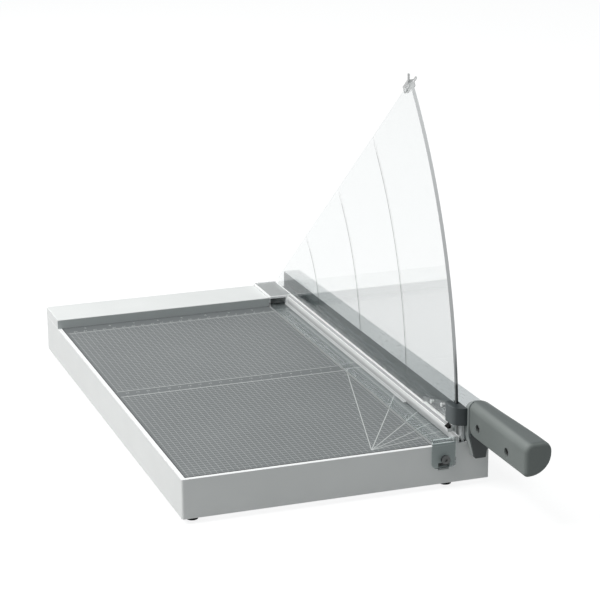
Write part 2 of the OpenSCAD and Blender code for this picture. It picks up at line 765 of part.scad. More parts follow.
// Steel arm, a channel open below, with a solid front for the tang and a hub at the back
module blade_arm() {
    color(arm_silver) set_down() difference() {
        intersection() {
            linear_extrude(height = 2 * arm_top_front) arm_plan(0);
            union() {
                side_plate(arm_x - over, arm_w_front + 2 * over) arm_side();
                translate([arm_x - over, pivot_y, pivot_z])
                    rod_x(arm_back_r, arm_w_front + 2 * over);
            }
        }
        intersection() {
            translate([0, 0, -over]) linear_extrude(height = arm_top_back - arm_top_wall + over)
                arm_plan(arm_wall);
            translate([0, channel_front, -over])
                cube([base_w, pivot_y - channel_back - channel_front, 2 * base_h]);
        }
        translate([arm_x - over, pivot_y, pivot_z]) rod_x(collar_r + seat_gap, hub_set + over);
        translate([hub_x1, pivot_y, pivot_z])
            rod_x(collar_r, arm_w_back);
        translate([hub_x1, relief_y, pivot_z - 2 * hub_r])
            cube([arm_w_back, base_d, 2 * hub_r + arm_low]);
        translate([hub_x0 - over, pivot_y, pivot_z])
            rod_x(pivot_r + bush_wall + run_gap, hub_w + 2 * over);
        for (y = blade_ys) translate([arm_x - over, y, blade_screw_z])
            rod_x(knife_screw_r + seat_gap, arm_wall + 2 * over);
        translate([arm_x - over, guide_screw_y, pivot_z + guide_low + guide_plate_h * mid])
            rod_x(guide_screw_r + seat_gap, guide_screw_len + over);
        translate([tang_x0 - seat_gap, arm_front - over, tang_z0 - seat_gap])
            cube([tang_w + 2 * seat_gap, tang_in + over, tang_h + 2 * seat_gap]);
        for (y = tang_screw_ys) translate([tang_x0 + tang_w * mid, y, tang_z0 + tang_h * mid])
            rod_x(tang_screw_r + seat_gap, arm_w_front);
        for (y = tang_screw_ys)
            translate([tang_screw_x - tang_screw_head_h - seat_gap, y, tang_z0 + tang_h * mid])
                rod_x(tang_screw_head_r + seat_gap, arm_w_front);
    }
}

// Blade seen from the side, with the cutting edge along its lower side
module blade_side() {
    translate([pivot_y, pivot_z]) circle(r = blade_rise, $fn = smooth);
    polygon([[blade_front, pivot_z - blade_drop + nose_cut],
        [blade_front + nose_cut, pivot_z - blade_drop],
        [pivot_y - edge_back, pivot_z - edge_drop_back],
        [pivot_y, pivot_z], [pivot_y, pivot_z + blade_rise],
        [blade_front, pivot_z + blade_rise]]);
}

// Hardened blade, ground on its outer side, with the pivot's hole at the back
module cutting_blade() {
    run = pivot_y - edge_back - blade_front - nose_cut;
    fall = blade_drop - edge_drop_back;
    color(steel) set_down() difference() {
        side_plate(cut_x, blade_t) blade_side();
        translate([cut_x - over, pivot_y, pivot_z])
            rod_x(pivot_r + bush_wall + run_gap, blade_t + 2 * over);
        for (y = blade_ys) translate([cut_x, y, blade_screw_z]) rotate([0, -90, 0])
            flat_screw_hole(knife_screw_head_r, knife_screw_head_h, knife_screw_r,
                knife_screw_len);
        translate([cut_x, blade_front + nose_cut, pivot_z - blade_drop])
            rotate([atan2(fall, run), 0, 0]) translate([0, -2 * edge_back, 0]) rotate([-90, 0, 0])
                linear_extrude(height = norm([run, fall]) + 2 * edge_back)
                    polygon([[blade_t * bevel_share, over], [blade_t + over, over],
                        [blade_t + over, -bevel_h], [blade_t, -bevel_h],
                        [blade_t * bevel_share, 0]]);
    }
}

// Countersunk screws of the blade
module blade_screws() {
    color(steel) set_down() for (y = blade_ys)
        translate([cut_x + seat_gap, y, blade_screw_z]) rotate([0, -90, 0])
            flat_screw(knife_screw_head_r, knife_screw_head_h, knife_screw_r,
                blade_t + arm_wall);
}

// Bush with a collar between blade and arm
module pivot_bush() {
    color(brass) set_down() translate([0, pivot_y, pivot_z]) difference() {
        union() {
            translate([cut_x + shear_gap, 0, 0]) rod_x(pivot_r + bush_wall, hub_x1 - cut_x - shear_gap);
            translate([arm_x, 0, 0]) rod_x(collar_r, hub_set);
        }
        translate([cut_x - over, 0, 0]) rod_x(pivot_r + run_gap, arm_w_back + 2 * over);
    }
}

// Flat washer outside the arm's hub
module pivot_washer() {
    color(steel) set_down() translate([hub_x1, pivot_y, pivot_z]) difference() {
        rod_x(washer_r, washer_t);
        translate([-over, 0, 0]) rod_x(pivot_r + run_gap, washer_t + 2 * over);
    }
}

// Dished spring washer that presses the blade against the bed knife
module disc_spring() {
    inner = pivot_r + seat_gap;
    color(steel) set_down() translate([hub_x1 + washer_t, pivot_y, pivot_z]) rotate([0, 90, 0])
        rotate_extrude($fn = smooth)
            polygon([[washer_r, 0], [washer_r, disc_t], [inner, disc_t + disc_cone],
                [inner, disc_cone]]);
}

// Bolster seen from the front: round top, lower part drawn in to a narrow foot
module bolster_face() {
    w = grip_w + grip_x0 - bolster_x0;
    z1 = grip_top;
    z0 = z1 - bolster_h;
    knee = z0 + bolster_h * bolster_low_share;
    heel = z0 + bolster_h * bolster_low_share * bolster_knee_share;
    foot_x = bolster_x0 + bolster_foot_in;
    polygon(concat([[foot_x, z0], [foot_x + bolster_foot_w, z0],
            [foot_x + bolster_foot_w, heel], [bolster_x0 + w, knee]],
        arc([bolster_x0 + w - bolster_top_r, z1 - bolster_top_r], bolster_top_r, 0, 90, 8),
        arc([bolster_x0 + bolster_top_r, z1 - bolster_top_r], bolster_top_r, 90, 180, 8),
        [[bolster_x0, knee]]));
}

// Moulded bolster between the arm and the grip, also the arm's stop before the front wall
module arm_bolster() {
    color(dark_grey) set_down() difference() {
        end_plate(arm_front - bolster_t - bolster_lip, bolster_t + bolster_lip) bolster_face();
        translate([0, arm_front - bolster_t - bolster_lip - over, grip_low - fit_gap])
            cube([base_w * 2, bolster_lip + over, bolster_h]);
        translate([tang_x0 - seat_gap, arm_front - bolster_t - over, tang_z0 - seat_gap])
            cube([tang_w + 2 * seat_gap, bolster_t + 2 * over, tang_h + 2 * seat_gap]);
    }
}

// Moulded block that runs along the guard's curved edge and steadies the arm
module guard_guide() {
    z0 = pivot_z + guide_low;
    w = bolster_x0 - guide_x0 + guide_nose_r;
    slot_x0 = guard_x0 - guide_slack;
    slot_x2 = guard_x1 + guide_slack;
    color(dark_grey) set_down() difference() {
        union() {
            translate([guide_x0, guide_front, z0]) linear_extrude(height = guide_h)
                intersection() {
                    round_rect(w, guide_back - guide_front, guide_r);
                    round_rect(w, 2 * (guide_back - guide_front), guide_nose_r);
                }
            translate([guard_x0, arm_front, z0])
                cube([arm_x - guard_x0, guide_back - arm_front, guide_plate_h]);
        }
        translate([bolster_x0, guide_front - over, z0 - over])
            cube([arm_bay_w, arm_front - guide_front + over, guide_h + 2 * over]);
        translate([bolster_x0, arm_front - over, z0 + guide_plate_h])
            cube([arm_bay_w, guide_back - arm_front + 2 * over, guide_h]);
        translate([arm_x, guide_front - over, z0 - over])
            cube([arm_bay_w, guide_back - guide_front + 2 * over, guide_h + 2 * over]);
        translate([slot_x0, guard_front - guide_run, z0 - over])
            cube([slot_x2 - slot_x0, guide_back, guide_h + 2 * over]);
        translate([slot_x2, guide_screw_y, z0 + guide_plate_h * mid]) rotate([0, -90, 0])
            flat_screw_hole(guide_screw_head_r, guide_screw_head_h, guide_screw_r, blade_t);
    }
}

// Screw that holds the guide block to the arm
module guide_screw() {
    color(steel) set_down()
        translate([guard_x1 + guide_slack + seat_gap, guide_screw_y,
            pivot_z + guide_low + guide_plate_h * mid]) rotate([0, -90, 0])
                flat_screw(guide_screw_head_r, guide_screw_head_h, guide_screw_r, guide_screw_len);
}

// Steel tang from the arm through the bolster into the grip
module handle_tang() {
    color(steel) set_down() difference() {
        translate([tang_x0, grip_back - tang_out, tang_z0])
            cube([tang_w, tang_out - grip_back + arm_front + tang_in, tang_h]);
        for (y = grip_screw_ys) translate([tang_x0 - over, grip_back - y, grip_screw_z])
            rod_x(grip_screw_r, tang_w + 2 * over);
        for (y = tang_screw_ys) translate([tang_x0 - over, y, tang_z0 + tang_h * mid])
            rod_x(tang_screw_r, tang_w + 2 * over);
    }
}

// Screws that hold the tang in the arm, put in from the right
module tang_screws() {
    color(steel) set_down() for (y = tang_screw_ys)
        translate([tang_screw_x, y, tang_z0 + tang_h * mid]) rotate([0, 90, 0])
            socket_screw(tang_screw_head_r, tang_screw_head_h, tang_screw_r - run_gap,
                arm_w_front * mid);
}

// Cross-section of the grip: flat left side, round top, full right side
module grip_face() {
    x1 = grip_x0 + grip_w;
    round_w = (grip_w - grip_r_low) * grip_round_w_share;
    round_h = (grip_h - grip_r_top) * grip_round_h_share;
    polygon(concat(
        arc([grip_x0 + grip_r_low, grip_low + grip_r_low], grip_r_low, 180, 270, 8),
        [for (p = arc([0, 0], 1, 270, 360, 16))
            [x1 - round_w + round_w * p.x, grip_low + round_h + round_h * p.y]],
        arc([x1 - grip_r_top, grip_top - grip_r_top], grip_r_top, 0, 90, 10),
        arc([grip_x0 + grip_r_top, grip_top - grip_r_top], grip_r_top, 90, 180, 10)));
}

// Soft moulded grip over the tang
module grip() {
    color(grip_grey) set_down() difference() {
        intersection() {
            end_plate(grip_front, grip_len) grip_face();
            side_plate(grip_x0 - over, grip_w + 2 * over) polygon(concat(
                arc([grip_front + grip_end_r, grip_low + grip_end_r], grip_end_r, 180, 270, 12),
                [[grip_back, grip_low], [grip_back, grip_top]],
                arc([grip_front + grip_r_top, grip_top - grip_r_top], grip_r_top, 90, 180, 10)));
        }
        translate([tang_x0 - seat_gap, grip_back - tang_out - seat_gap, tang_z0 - seat_gap])
            cube([tang_w + 2 * seat_gap, tang_out + over, tang_h + 2 * seat_gap]);
        for (y = grip_screw_ys) translate([grip_x0 - over, grip_back - y, grip_screw_z]) {
            rod_x(grip_screw_well_r, grip_screw_well + over);
            rod_x(grip_screw_r + seat_gap, tang_x0 - grip_x0 + 2 * over);
        }
    }
}

// The grip's two screws, sunk in its left side
module grip_screws() {
    color(black_rubber) set_down() for (y = grip_screw_ys)
        translate([grip_x0 + grip_screw_well - grip_screw_head_h, grip_back - y, grip_screw_z])
            rotate([0, -90, 0])
                socket_screw(grip_screw_head_r, grip_screw_head_h, grip_screw_r - run_gap,
                    tang_x0 + tang_w * mid - grip_x0 - grip_screw_well);
}

// Clear rail that presses the paper, with an upright bar along the cutting line
module clamp_rail() {
    full_front = bar_front + bumper_l;
    rail_back = block_back - rail_back_gap;
    color(clear_plastic) set_down() difference() {
        union() {
            translate([rail_x0, -tab_gap, flange_z0])
                cube([tab_w - tab_out, sheet_t + tab_gap, flange_t]);
            translate([rail_x0, sheet_t - over, flange_z0])
                cube([rail_w, block_front - sheet_t + over, flange_t]);
            translate([rail_x0 + notch_gap + fit_gap, block_front - over, flange_z0])
                cube([block_right - rail_x0 - notch_gap - fit_gap, rail_back - block_front + over,
                    flange_t]);
            end_plate(full_front, block_front - full_front)
                polygon([[bar_x0, flange_z0], [guard_x0, flange_z0], [guard_x0, bar_z1],
                    [guard_x0 - bar_flat, bar_z1], [bar_x0, bar_z1 - bar_slant]]);
            translate([bar_x0, bar_front, flange_z0])
                cube([bar_w, bumper_l + over, bar_seat_h]);
            translate([bar_x0, -tab_gap, flange_z0])
                cube([bar_w, bar_front + tab_gap + over, bar_low_h]);
            for (k = [1, 2]) translate([bar_x0 - k * rib_gap, rib_front, flange_z0])
                cube([rib_w, block_front - rib_front, flange_t + rib_h]);
        }
        translate([pin_x, pin_y, flange_z0 - over])
            cylinder(r = pin_r + seat_gap, h = flange_t + 2 * over, $fn = smooth);
    }
}

// Clear block over the back end of the rail, with a raised rim
module clamp_rear_block() {
    wall_x0 = notch_x + fit_gap;
    color(clear_plastic) set_down() difference() {
        union() {
            translate([block_x0, block_front, block_z0])
                cube([block_x1 - block_x0, base_d - block_front, block_plate_t + block_rim_h]);
            translate([wall_x0, stop_y + notch_gap, flange_z1])
                cube([block_wall, block_back - stop_y - notch_gap, block_z0 - flange_z1]);
            translate([block_right - block_wall, block_front, flange_z1])
                cube([block_wall, block_back - block_front, block_z0 - flange_z1]);
            translate([wall_x0, block_back - block_wall, flange_z1])
                cube([block_right - wall_x0, block_wall, block_z0 - flange_z1]);
        }
        translate([block_x0 + block_rim_w, block_front + block_rim_w, block_z1])
            cube([block_x1 - block_x0 - 2 * block_rim_w, base_d - block_front - 2 * block_rim_w,
                block_rim_h + over]);
    }
}

// Clear tab on the front of the rail, with a slot for the guide screw and a spring lug
module clamp_front_tab() {
    color(clear_plastic) set_down() {
        difference() {
            end_plate(-tab_gap - tab_t, tab_t) tab_outline();
            translate([tab_screw_x, -tab_gap - tab_t - over, tab_screw_z])
                rod_y(tab_slot_r, tab_t + 2 * over);
            translate([tab_screw_x, -tab_gap - tab_t - over, tab_screw_z - clamp_lift])
                rod_y(tab_slot_r, tab_t + 2 * over);
            translate([tab_screw_x - tab_slot_r, -tab_gap - tab_t - over, tab_screw_z - clamp_lift])
                cube([2 * tab_slot_r, tab_t + 2 * over, clamp_lift]);
        }
        translate([lug_x, -tab_gap, lug_low]) cube([lug_w, lug_len + tab_gap, lug_h]);
    }
}

// Tab seen from the front, with round lower corners
module tab_outline() {
    translate([tab_x0, tab_low]) round_rect(tab_w, flange_z0 - tab_low - tab_corner, tab_corner);
    translate([tab_x0, tab_low + tab_corner])
        square([tab_w, flange_z0 + bar_low_h - tab_low - tab_corner]);
}

// Rubber bumper that the guide block meets when the arm comes down
module clamp_bumper() {
    seat_z = flange_z0 + bar_seat_h;
    color(black_rubber) set_down() end_plate(bar_front, bumper_l)
        polygon([[bar_x0, seat_z], [guard_x0, seat_z], [guard_x0, bar_z1 + bumper_h],
            [bar_x0, seat_z + bumper_lip]]);
}

// Clear guard seen from the side: an arc about the pivot and a straight sloping edge
module guard_side() {
    reach = guard_r * 2;
    dir = [-cos(guard_slope), sin(guard_slope)];
    foot_pt = [pivot_y, pivot_z] + guard_rise * [sin(guard_slope), cos(guard_slope)];
    back_z = foot_pt[1] + (pivot_y + guard_back - foot_pt[0]) / dir[0] * dir[1];
    step_z = block_z0 + block_plate_t + block_rim_h;
    intersection() {
        translate([pivot_y, pivot_z]) circle(r = guard_r, $fn = 4 * smooth);
        polygon([[-guard_r, flange_z1], [block_front - fit_gap, flange_z1],
            [block_front - fit_gap, step_z], [pivot_y + guard_back, step_z],
            [pivot_y + guard_back, back_z], foot_pt + reach * dir, [-guard_r, reach]]);
    }
}

// Clear guard plate, with three etched arcs that show the arm's reach
module finger_guard() {
    color(clear_plastic) set_down() difference() {
        side_plate(guard_x0, guard_t) guard_side();
        for (s = etch_shares) translate([guard_x0 - over, pivot_y, pivot_z]) rotate([0, 90, 0])
            difference() {
                cylinder(r = guard_r * s + etch_w * mid, h = etch_d + over, $fn = 4 * smooth);
                translate([0, 0, -over])
                    cylinder(r = guard_r * s - etch_w * mid, h = etch_d + 3 * over, $fn = 4 * smooth);
            }
    }
}

// Clear cheek that joins the guard to the rail's bar at the front
module guard_bracket() {
    color(clear_plastic) set_down() difference() {
        side_plate(guard_x0 - bracket_t, bracket_t) translate([0, bar_z1])
            polygon([[bracket_front, 0], [bracket_back, 0], [bracket_back, bracket_h_back],
                [bracket_front + bracket_nose, bracket_h], [bracket_front, bracket_h_front]]);
        for (k = [0, 1])
            translate([guard_x0 - bracket_t - over, rivet_ys[k], bar_z1 + rivet_overs[k]])
                rod_x(rivet_r + run_gap, bracket_t + 2 * over);
    }
}

// Two rivets through cheek and guard
module guard_rivets() {
    color(steel) set_down() for (k = [0, 1])
        translate([guard_x0 - bracket_t - rivet_head_h, rivet_ys[k], bar_z1 + rivet_overs[k]]) {
            rod_x(rivet_head_r, rivet_head_h);
            rod_x(rivet_r, rivet_head_h + bracket_t);
        }
}

// Clear clip on the guard's tip, the stop for the guide block
module guard_stop_clip() {
    lean = acos(guard_rise / guard_r);
    tip_a = guard_slope + 90 - lean;
    tip = [pivot_y - guard_r * cos(tip_a), pivot_z + guard_r * sin(tip_a)];
    color(clear_plastic) set_down() {
        for (x = [guard_x0 - clip_side, guard_x1]) side_plate(x, clip_side) clip_side_shape(tip);
        side_plate(guard_x0 - clip_side, guard_t + 2 * clip_side) translate(tip)
            rotate(-guard_slope) translate([-fit_gap, fit_gap]) square([clip_l, clip_side]);
        for (s = [-1, 1]) side_plate(s < 0 ? guard_x0 - clip_side : guard_x1, clip_side)
            translate(tip) rotate(180 - guard_slope + s * prong_spread - prong_spread)
                translate([-prong_in, -prong_t * mid]) square([prong_l + prong_in, prong_t]);
    }
}

// Side of the clip, lying along the guard's straight edge
module clip_side_shape(tip) {
    translate(tip) rotate(-guard_slope) translate([-fit_gap, fit_gap - clip_w])
        square([clip_l, clip_w + clip_side]);
}

// Points of a ring of wire and the sweep of a coil spring about Z
function coil_point(k, n, turns, r, h) =
    [r * cos(360 * turns * k / n), r * sin(360 * turns * k / n), h * k / n];

module coil_spring(r, wire, h, turns) {
    sides = 6;
    steps = 12;
    n = turns * steps;
    rise = h - 2 * wire;
    pts = [for (k = [0:n], j = [0:sides - 1])
        let (a = 360 * turns * k / n, b = 360 * j / sides)
            coil_point(k, n, turns, r, rise)
                + wire * [cos(b) * cos(a), cos(b) * sin(a), sin(b)] + [0, 0, wire]];
    tube = [for (k = [0:n - 1], j = [0:sides - 1])
        let (a = k * sides + j, b = k * sides + (j + 1) % sides)
            [a, b, b + sides, a + sides]];
    ends = [[for (j = [0:sides - 1]) sides - 1 - j], [for (j = [0:sides - 1]) n * sides + j]];
    polyhedron(points = pts, faces = concat(ends, tube));
}

// Spring behind the front wall, between the bottom plate and the tab's lug
module clamp_spring_front() {
    color(steel) set_down() translate([tab_screw_x, spring_y, plate_t + run_gap])
        coil_spring(spring_r, spring_wire, lug_low - plate_t - 2 * run_gap, spring_turns);
}

// Spring in the cup at the back, between its floor and the rail's flange
module clamp_spring_back() {
    cup_floor = deck_low - cup_h + cup_wall;
    color(steel) set_down() translate([pin_x, pin_y, cup_floor + run_gap])
        coil_spring(spring_r, spring_wire, flange_z0 - cup_floor - 2 * run_gap, spring_turns);
}

base_shell();
bottom_plate();
bottom_plate_screws();
knife_rail();
bed_knife();
bed_knife_screws();
cutting_mat();
paper_stop();
paper_stop_rule();
paper_stop_screws();
pivot_bracket();
pivot_bracket_screws();
pivot_bolt();
pivot_nut();
clamp_guide_screw();
clamp_guide_nut();
clamp_guide_pin();
spring_cup();
foot_front_left();
foot_front_right();
foot_rear_left();
foot_rear_right();
foot_screws();
blade_arm();
cutting_blade();
blade_screws();
pivot_bush();
pivot_washer();
disc_spring();
arm_bolster();
guard_guide();
guide_screw();
handle_tang();
tang_screws();
grip();
grip_screws();
clamp_rail();
clamp_rear_block();
clamp_front_tab();
clamp_bumper();
finger_guard();
guard_bracket();
guard_rivets();
guard_stop_clip();
clamp_spring_front();
clamp_spring_back();
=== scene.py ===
import math

import bmesh
import bpy
from mathutils import Matrix, Vector


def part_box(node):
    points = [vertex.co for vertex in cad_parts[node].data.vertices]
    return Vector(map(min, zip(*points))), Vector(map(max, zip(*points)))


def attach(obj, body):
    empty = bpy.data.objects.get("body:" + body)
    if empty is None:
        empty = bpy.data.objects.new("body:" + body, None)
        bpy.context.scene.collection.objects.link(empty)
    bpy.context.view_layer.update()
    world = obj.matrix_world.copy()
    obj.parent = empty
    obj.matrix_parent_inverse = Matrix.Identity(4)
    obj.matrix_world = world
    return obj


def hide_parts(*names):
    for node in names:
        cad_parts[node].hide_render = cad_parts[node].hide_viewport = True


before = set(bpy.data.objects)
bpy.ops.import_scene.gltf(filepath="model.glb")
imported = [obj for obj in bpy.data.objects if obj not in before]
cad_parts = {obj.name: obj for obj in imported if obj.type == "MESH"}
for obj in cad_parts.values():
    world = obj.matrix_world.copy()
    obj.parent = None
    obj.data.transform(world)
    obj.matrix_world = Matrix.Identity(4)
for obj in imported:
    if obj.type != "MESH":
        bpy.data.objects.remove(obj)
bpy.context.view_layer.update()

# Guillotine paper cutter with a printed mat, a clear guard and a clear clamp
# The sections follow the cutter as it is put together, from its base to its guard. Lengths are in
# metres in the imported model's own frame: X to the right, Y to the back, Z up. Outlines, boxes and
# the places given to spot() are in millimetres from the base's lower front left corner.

MM = 0.001


# Camera
# It stands in front of the cutter's left side and looks down on it through a long lens. It is
# turned a little about its own axis.
camera_place = Vector((-0.58873, -1.75214, 0.68763))
camera_azimuth = math.radians(-19.469)
camera_elevation = math.radians(16.835)
camera_roll = math.radians(-0.321)
lens_length = 127.04
sensor_width = 36

look_back = Vector((math.sin(camera_azimuth) * math.cos(camera_elevation),
                    -math.cos(camera_azimuth) * math.cos(camera_elevation),
                    math.sin(camera_elevation)))
camera_data = bpy.data.cameras.new("camera")
camera_data.lens = lens_length
camera_data.sensor_width = sensor_width
camera_data.clip_end = 100
camera = bpy.data.objects.new("camera", camera_data)
camera.rotation_mode = "QUATERNION"
turn = Matrix.Rotation(camera_roll, 3, look_back) @ look_back.to_track_quat("Z", "Y").to_matrix()
camera.rotation_quaternion = turn.to_quaternion()
camera.location = camera_place
bpy.context.collection.objects.link(camera)
bpy.context.scene.camera = camera


# Studio
# A pale floor and an even sky, one big soft lamp from the upper left and a weak one from the back.
# Floor and sky show white to the camera, also through clear plastic, and partly white in mirrors.
def new_material(name):
    """An empty material with its output, and the node tree to fill."""
    material = bpy.data.materials.new(name)
    material.use_nodes = True
    tree = material.node_tree
    tree.nodes.clear()
    output = tree.nodes.new("ShaderNodeOutputMaterial")
    return material, tree, output


def feed(tree, slot, value):
    """Links a socket to a slot, or sets the slot to a plain value."""
    if isinstance(value, bpy.types.NodeSocket):
        tree.links.new(value, slot)
    else:
        slot.default_value = value


def calc(tree, operation, *values):
    """One math node on sockets or plain numbers, giving its output socket."""
    node = tree.nodes.new("ShaderNodeMath")
    node.operation = operation
    for slot, value in zip(node.inputs, values):
        feed(tree, slot, value)
    return node.outputs[0]


def between(tree, factor, low, high):
    """A colour that runs from low to high with a factor; each end is a colour or a socket."""
    node = tree.nodes.new("ShaderNodeMix")
    node.data_type = "RGBA"
    feed(tree, node.inputs["A"], low)
    feed(tree, node.inputs["B"], high)
    tree.links.new(factor, node.inputs["Factor"])
    return node.outputs["Result"]


def ramp(tree, value, low, high, top=1):
    """A soft step from 0 to a top value between two places."""
    node = tree.nodes.new("ShaderNodeMapRange")
    node.interpolation_type = "SMOOTHSTEP"
    node.inputs["From Min"].default_value = low
    node.inputs["From Max"].default_value = high
    node.inputs["To Max"].default_value = top
    tree.links.new(value, node.inputs["Value"])
    return node.outputs[0]


def axes_of(tree, kind="Object"):
    """The X, Y and Z of a place on a piece, or of a direction in the sky."""
    coords = tree.nodes.new("ShaderNodeTexCoord")
    axes = tree.nodes.new("ShaderNodeSeparateXYZ")
    tree.links.new(coords.outputs[kind], axes.inputs[0])
    return axes.outputs


floor_size = 30
floor_grey = 0.3
floor_lift = 0.82
floor_whitens = (-0.7, -0.15)
sky_whitens = (-0.5, 0.0)
sky_strength = 0.375
mirrored_sky = 0.58
cool_white = (0.955, 1.005, 1.015, 1)
full_white = (1, 1, 1, 1)
lamp_color = (1, 0.988, 0.982)


def seen_white(tree, depth_axis, near, far, mirror_share):
    """1 for the camera, also through clear plastic; in a mirror 0 in front and a share at the back."""
    path = tree.nodes.new("ShaderNodeLightPath")
    clear_way = calc(tree, "MAXIMUM", path.outputs["Is Camera Ray"], path.outputs["Is Transmission Ray"])
    direct = calc(tree, "GREATER_THAN", clear_way, path.outputs["Glossy Depth"])
    shiny_way = calc(tree, "MAXIMUM", path.outputs["Is Glossy Ray"], path.outputs["Is Transmission Ray"])
    mirrored = calc(tree, "MULTIPLY", shiny_way, ramp(tree, depth_axis, near, far, mirror_share))
    return calc(tree, "MAXIMUM", direct, mirrored)


floor_mesh = bmesh.new()
bmesh.ops.create_grid(floor_mesh, x_segments=1, y_segments=1, size=floor_size / 2)
floor_data = bpy.data.meshes.new("floor")
floor_mesh.to_mesh(floor_data)
floor_mesh.free()
floor = bpy.data.objects.new("floor", floor_data)
bpy.context.collection.objects.link(floor)
floor_paint, tree, output = new_material("floor")
bare = tree.nodes.new("ShaderNodeBsdfDiffuse")
bare.inputs["Color"].default_value = (floor_grey, floor_grey, floor_grey, 1)
lift = tree.nodes.new("ShaderNodeEmission")
white = seen_white(tree, axes_of(tree)["Y"], *floor_whitens, 1)
tree.links.new(calc(tree, "MULTIPLY", white, floor_lift), lift.inputs["Strength"])
both = tree.nodes.new("ShaderNodeAddShader")
tree.links.new(bare.outputs[0], both.inputs[0])
tree.links.new(lift.outputs[0], both.inputs[1])
tree.links.new(both.outputs[0], output.inputs["Surface"])
floor_data.materials.append(floor_paint)

sky = bpy.data.worlds.new("studio")
sky.use_nodes = True
tree = sky.node_tree
tree.nodes.clear()
sky_output = tree.nodes.new("ShaderNodeOutputWorld")
sky_light = tree.nodes.new("ShaderNodeBackground")
white = seen_white(tree, axes_of(tree, "Generated")["Y"], *sky_whitens, mirrored_sky)
tree.links.new(calc(tree, "MAXIMUM", white, sky_strength), sky_light.inputs["Strength"])
tree.links.new(between(tree, white, cool_white, full_white), sky_light.inputs["Color"])
tree.links.new(sky_light.outputs[0], sky_output.inputs["Surface"])
bpy.context.scene.world = sky


def soft_lamp(name, place, aim, size, watts):
    """A square soft box at a place, turned towards a point."""
    data = bpy.data.lights.new(name, "AREA")
    data.color = lamp_color
    data.shape = "SQUARE"
    data.size = size
    data.energy = watts
    lamp = bpy.data.objects.new(name, data)
    lamp.location = place
    lamp.rotation_mode = "QUATERNION"
    lamp.rotation_quaternion = (Vector(aim) - Vector(place)).to_track_quat("-Z", "Y")
    bpy.context.collection.objects.link(lamp)


soft_lamp("key_lamp", place=(-1.5, 0.0, 2.18), aim=(0, 0, 0), size=2.0, watts=62.5)
soft_lamp("back_lamp", place=(-0.5, 2.1, 0.95), aim=(0, -0.2, 0.06), size=0.7, watts=5)

bpy.context.scene.view_settings.view_transform = "Standard"


# Base shell
# A tray pressed from steel sheet and powder coated white: four walls, a rim and a deck. The recess
# in the deck takes the mat, and the slot to its right lets the blade pass.
def linear(level):
    """A grey or colour value as a screen shows it, 0 to 255, in the renderer's linear light."""
    share = level / 255
    return share / 12.92 if share <= 0.04045 else ((share + 0.055) / 1.055) ** 2.4


def tone(red, green=None, blue=None):
    """A screen colour as four linear values; one number gives a grey."""
    levels = (red, red if green is None else green, red if blue is None else blue)
    return tuple(linear(level) for level in levels) + (1,)


def principled(tree, output, color, roughness, **sockets):
    """The surface shader, with its plain values set on its own sockets."""
    shader = tree.nodes.new("ShaderNodeBsdfPrincipled")
    shader.inputs["Base Color"].default_value = color
    shader.inputs["Roughness"].default_value = roughness
    for socket, value in sockets.items():
        shader.inputs[socket.replace("_", " ")].default_value = value
    tree.links.new(shader.outputs[0], output.inputs["Surface"])
    return shader


def grain(tree, scale, detail=3.0, stretch=(1, 1, 1)):
    """Fine noise on the object's own coordinates, with its scale per metre."""
    coords = tree.nodes.new("ShaderNodeTexCoord")
    mapping = tree.nodes.new("ShaderNodeMapping")
    mapping.inputs["Scale"].default_value = stretch
    tree.links.new(coords.outputs["Object"], mapping.inputs["Vector"])
    noise = tree.nodes.new("ShaderNodeTexNoise")
    noise.inputs["Scale"].default_value = scale
    noise.inputs["Detail"].default_value = detail
    tree.links.new(mapping.outputs[0], noise.inputs["Vector"])
    return noise.outputs["Fac"]


def bump(tree, shader, height, depth):
    """Relief of a depth in metres on the shader."""
    node = tree.nodes.new("ShaderNodeBump")
    node.inputs["Strength"].default_value = 1
    node.inputs["Distance"].default_value = depth
    tree.links.new(height, node.inputs["Height"])
    tree.links.new(node.outputs[0], shader.inputs["Normal"])


noise_low = 0.3
noise_high = 0.7


def span(tree, value, low, high):
    """A value from a noise, mapped from its middle range to low and high."""
    node = tree.nodes.new("ShaderNodeMapRange")
    node.inputs["From Min"].default_value = noise_low
    node.inputs["From Max"].default_value = noise_high
    node.inputs["To Min"].default_value = low
    node.inputs["To Max"].default_value = high
    tree.links.new(value, node.inputs["Value"])
    return node.outputs[0]


def mottled(tree, shader, noise, dark, light):
    """Lets the shader's colour wander between two tones with a noise."""
    tree.links.new(between(tree, span(tree, noise, 0, 1), dark, light), shader.inputs["Base Color"])


def painted(name, dark, light, roughness, speck=900, relief=0.00003):
    """Powder coat or paint: orange-peel relief, a slight change of tone and of gloss."""
    material, tree, output = new_material(name)
    shader = principled(tree, output, light, roughness)
    cloud = grain(tree, 14)
    mottled(tree, shader, cloud, dark, light)
    peel = grain(tree, speck, 2)
    tree.links.new(span(tree, peel, roughness - 0.05, roughness + 0.05), shader.inputs["Roughness"])
    bump(tree, shader, peel, relief)
    return material


def dressed(piece, material, body, slot, *stands_for):
    """Gives a piece its material, the body it moves with and the nodes that it stands for."""
    piece.data.materials.clear()
    piece.data.materials.append(material)
    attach(piece, body)
    if stands_for:
        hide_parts(*stands_for)
    return piece


def piece_from(work, name, sharp_angle=40):
    """Turns a finished bmesh into an object with smooth round stretches and crisp folds."""
    bmesh.ops.recalc_face_normals(work, faces=work.faces)
    data = bpy.data.meshes.new(name)
    work.to_mesh(data)
    work.free()
    data.shade_smooth()
    data.set_sharp_from_angle(angle=math.radians(sharp_angle))
    piece = bpy.data.objects.new(name, data)
    bpy.context.collection.objects.link(piece)
    flat = piece.modifiers.new("flat faces stay flat", "WEIGHTED_NORMAL")
    flat.keep_sharp = True
    flat.weight = 60
    return piece


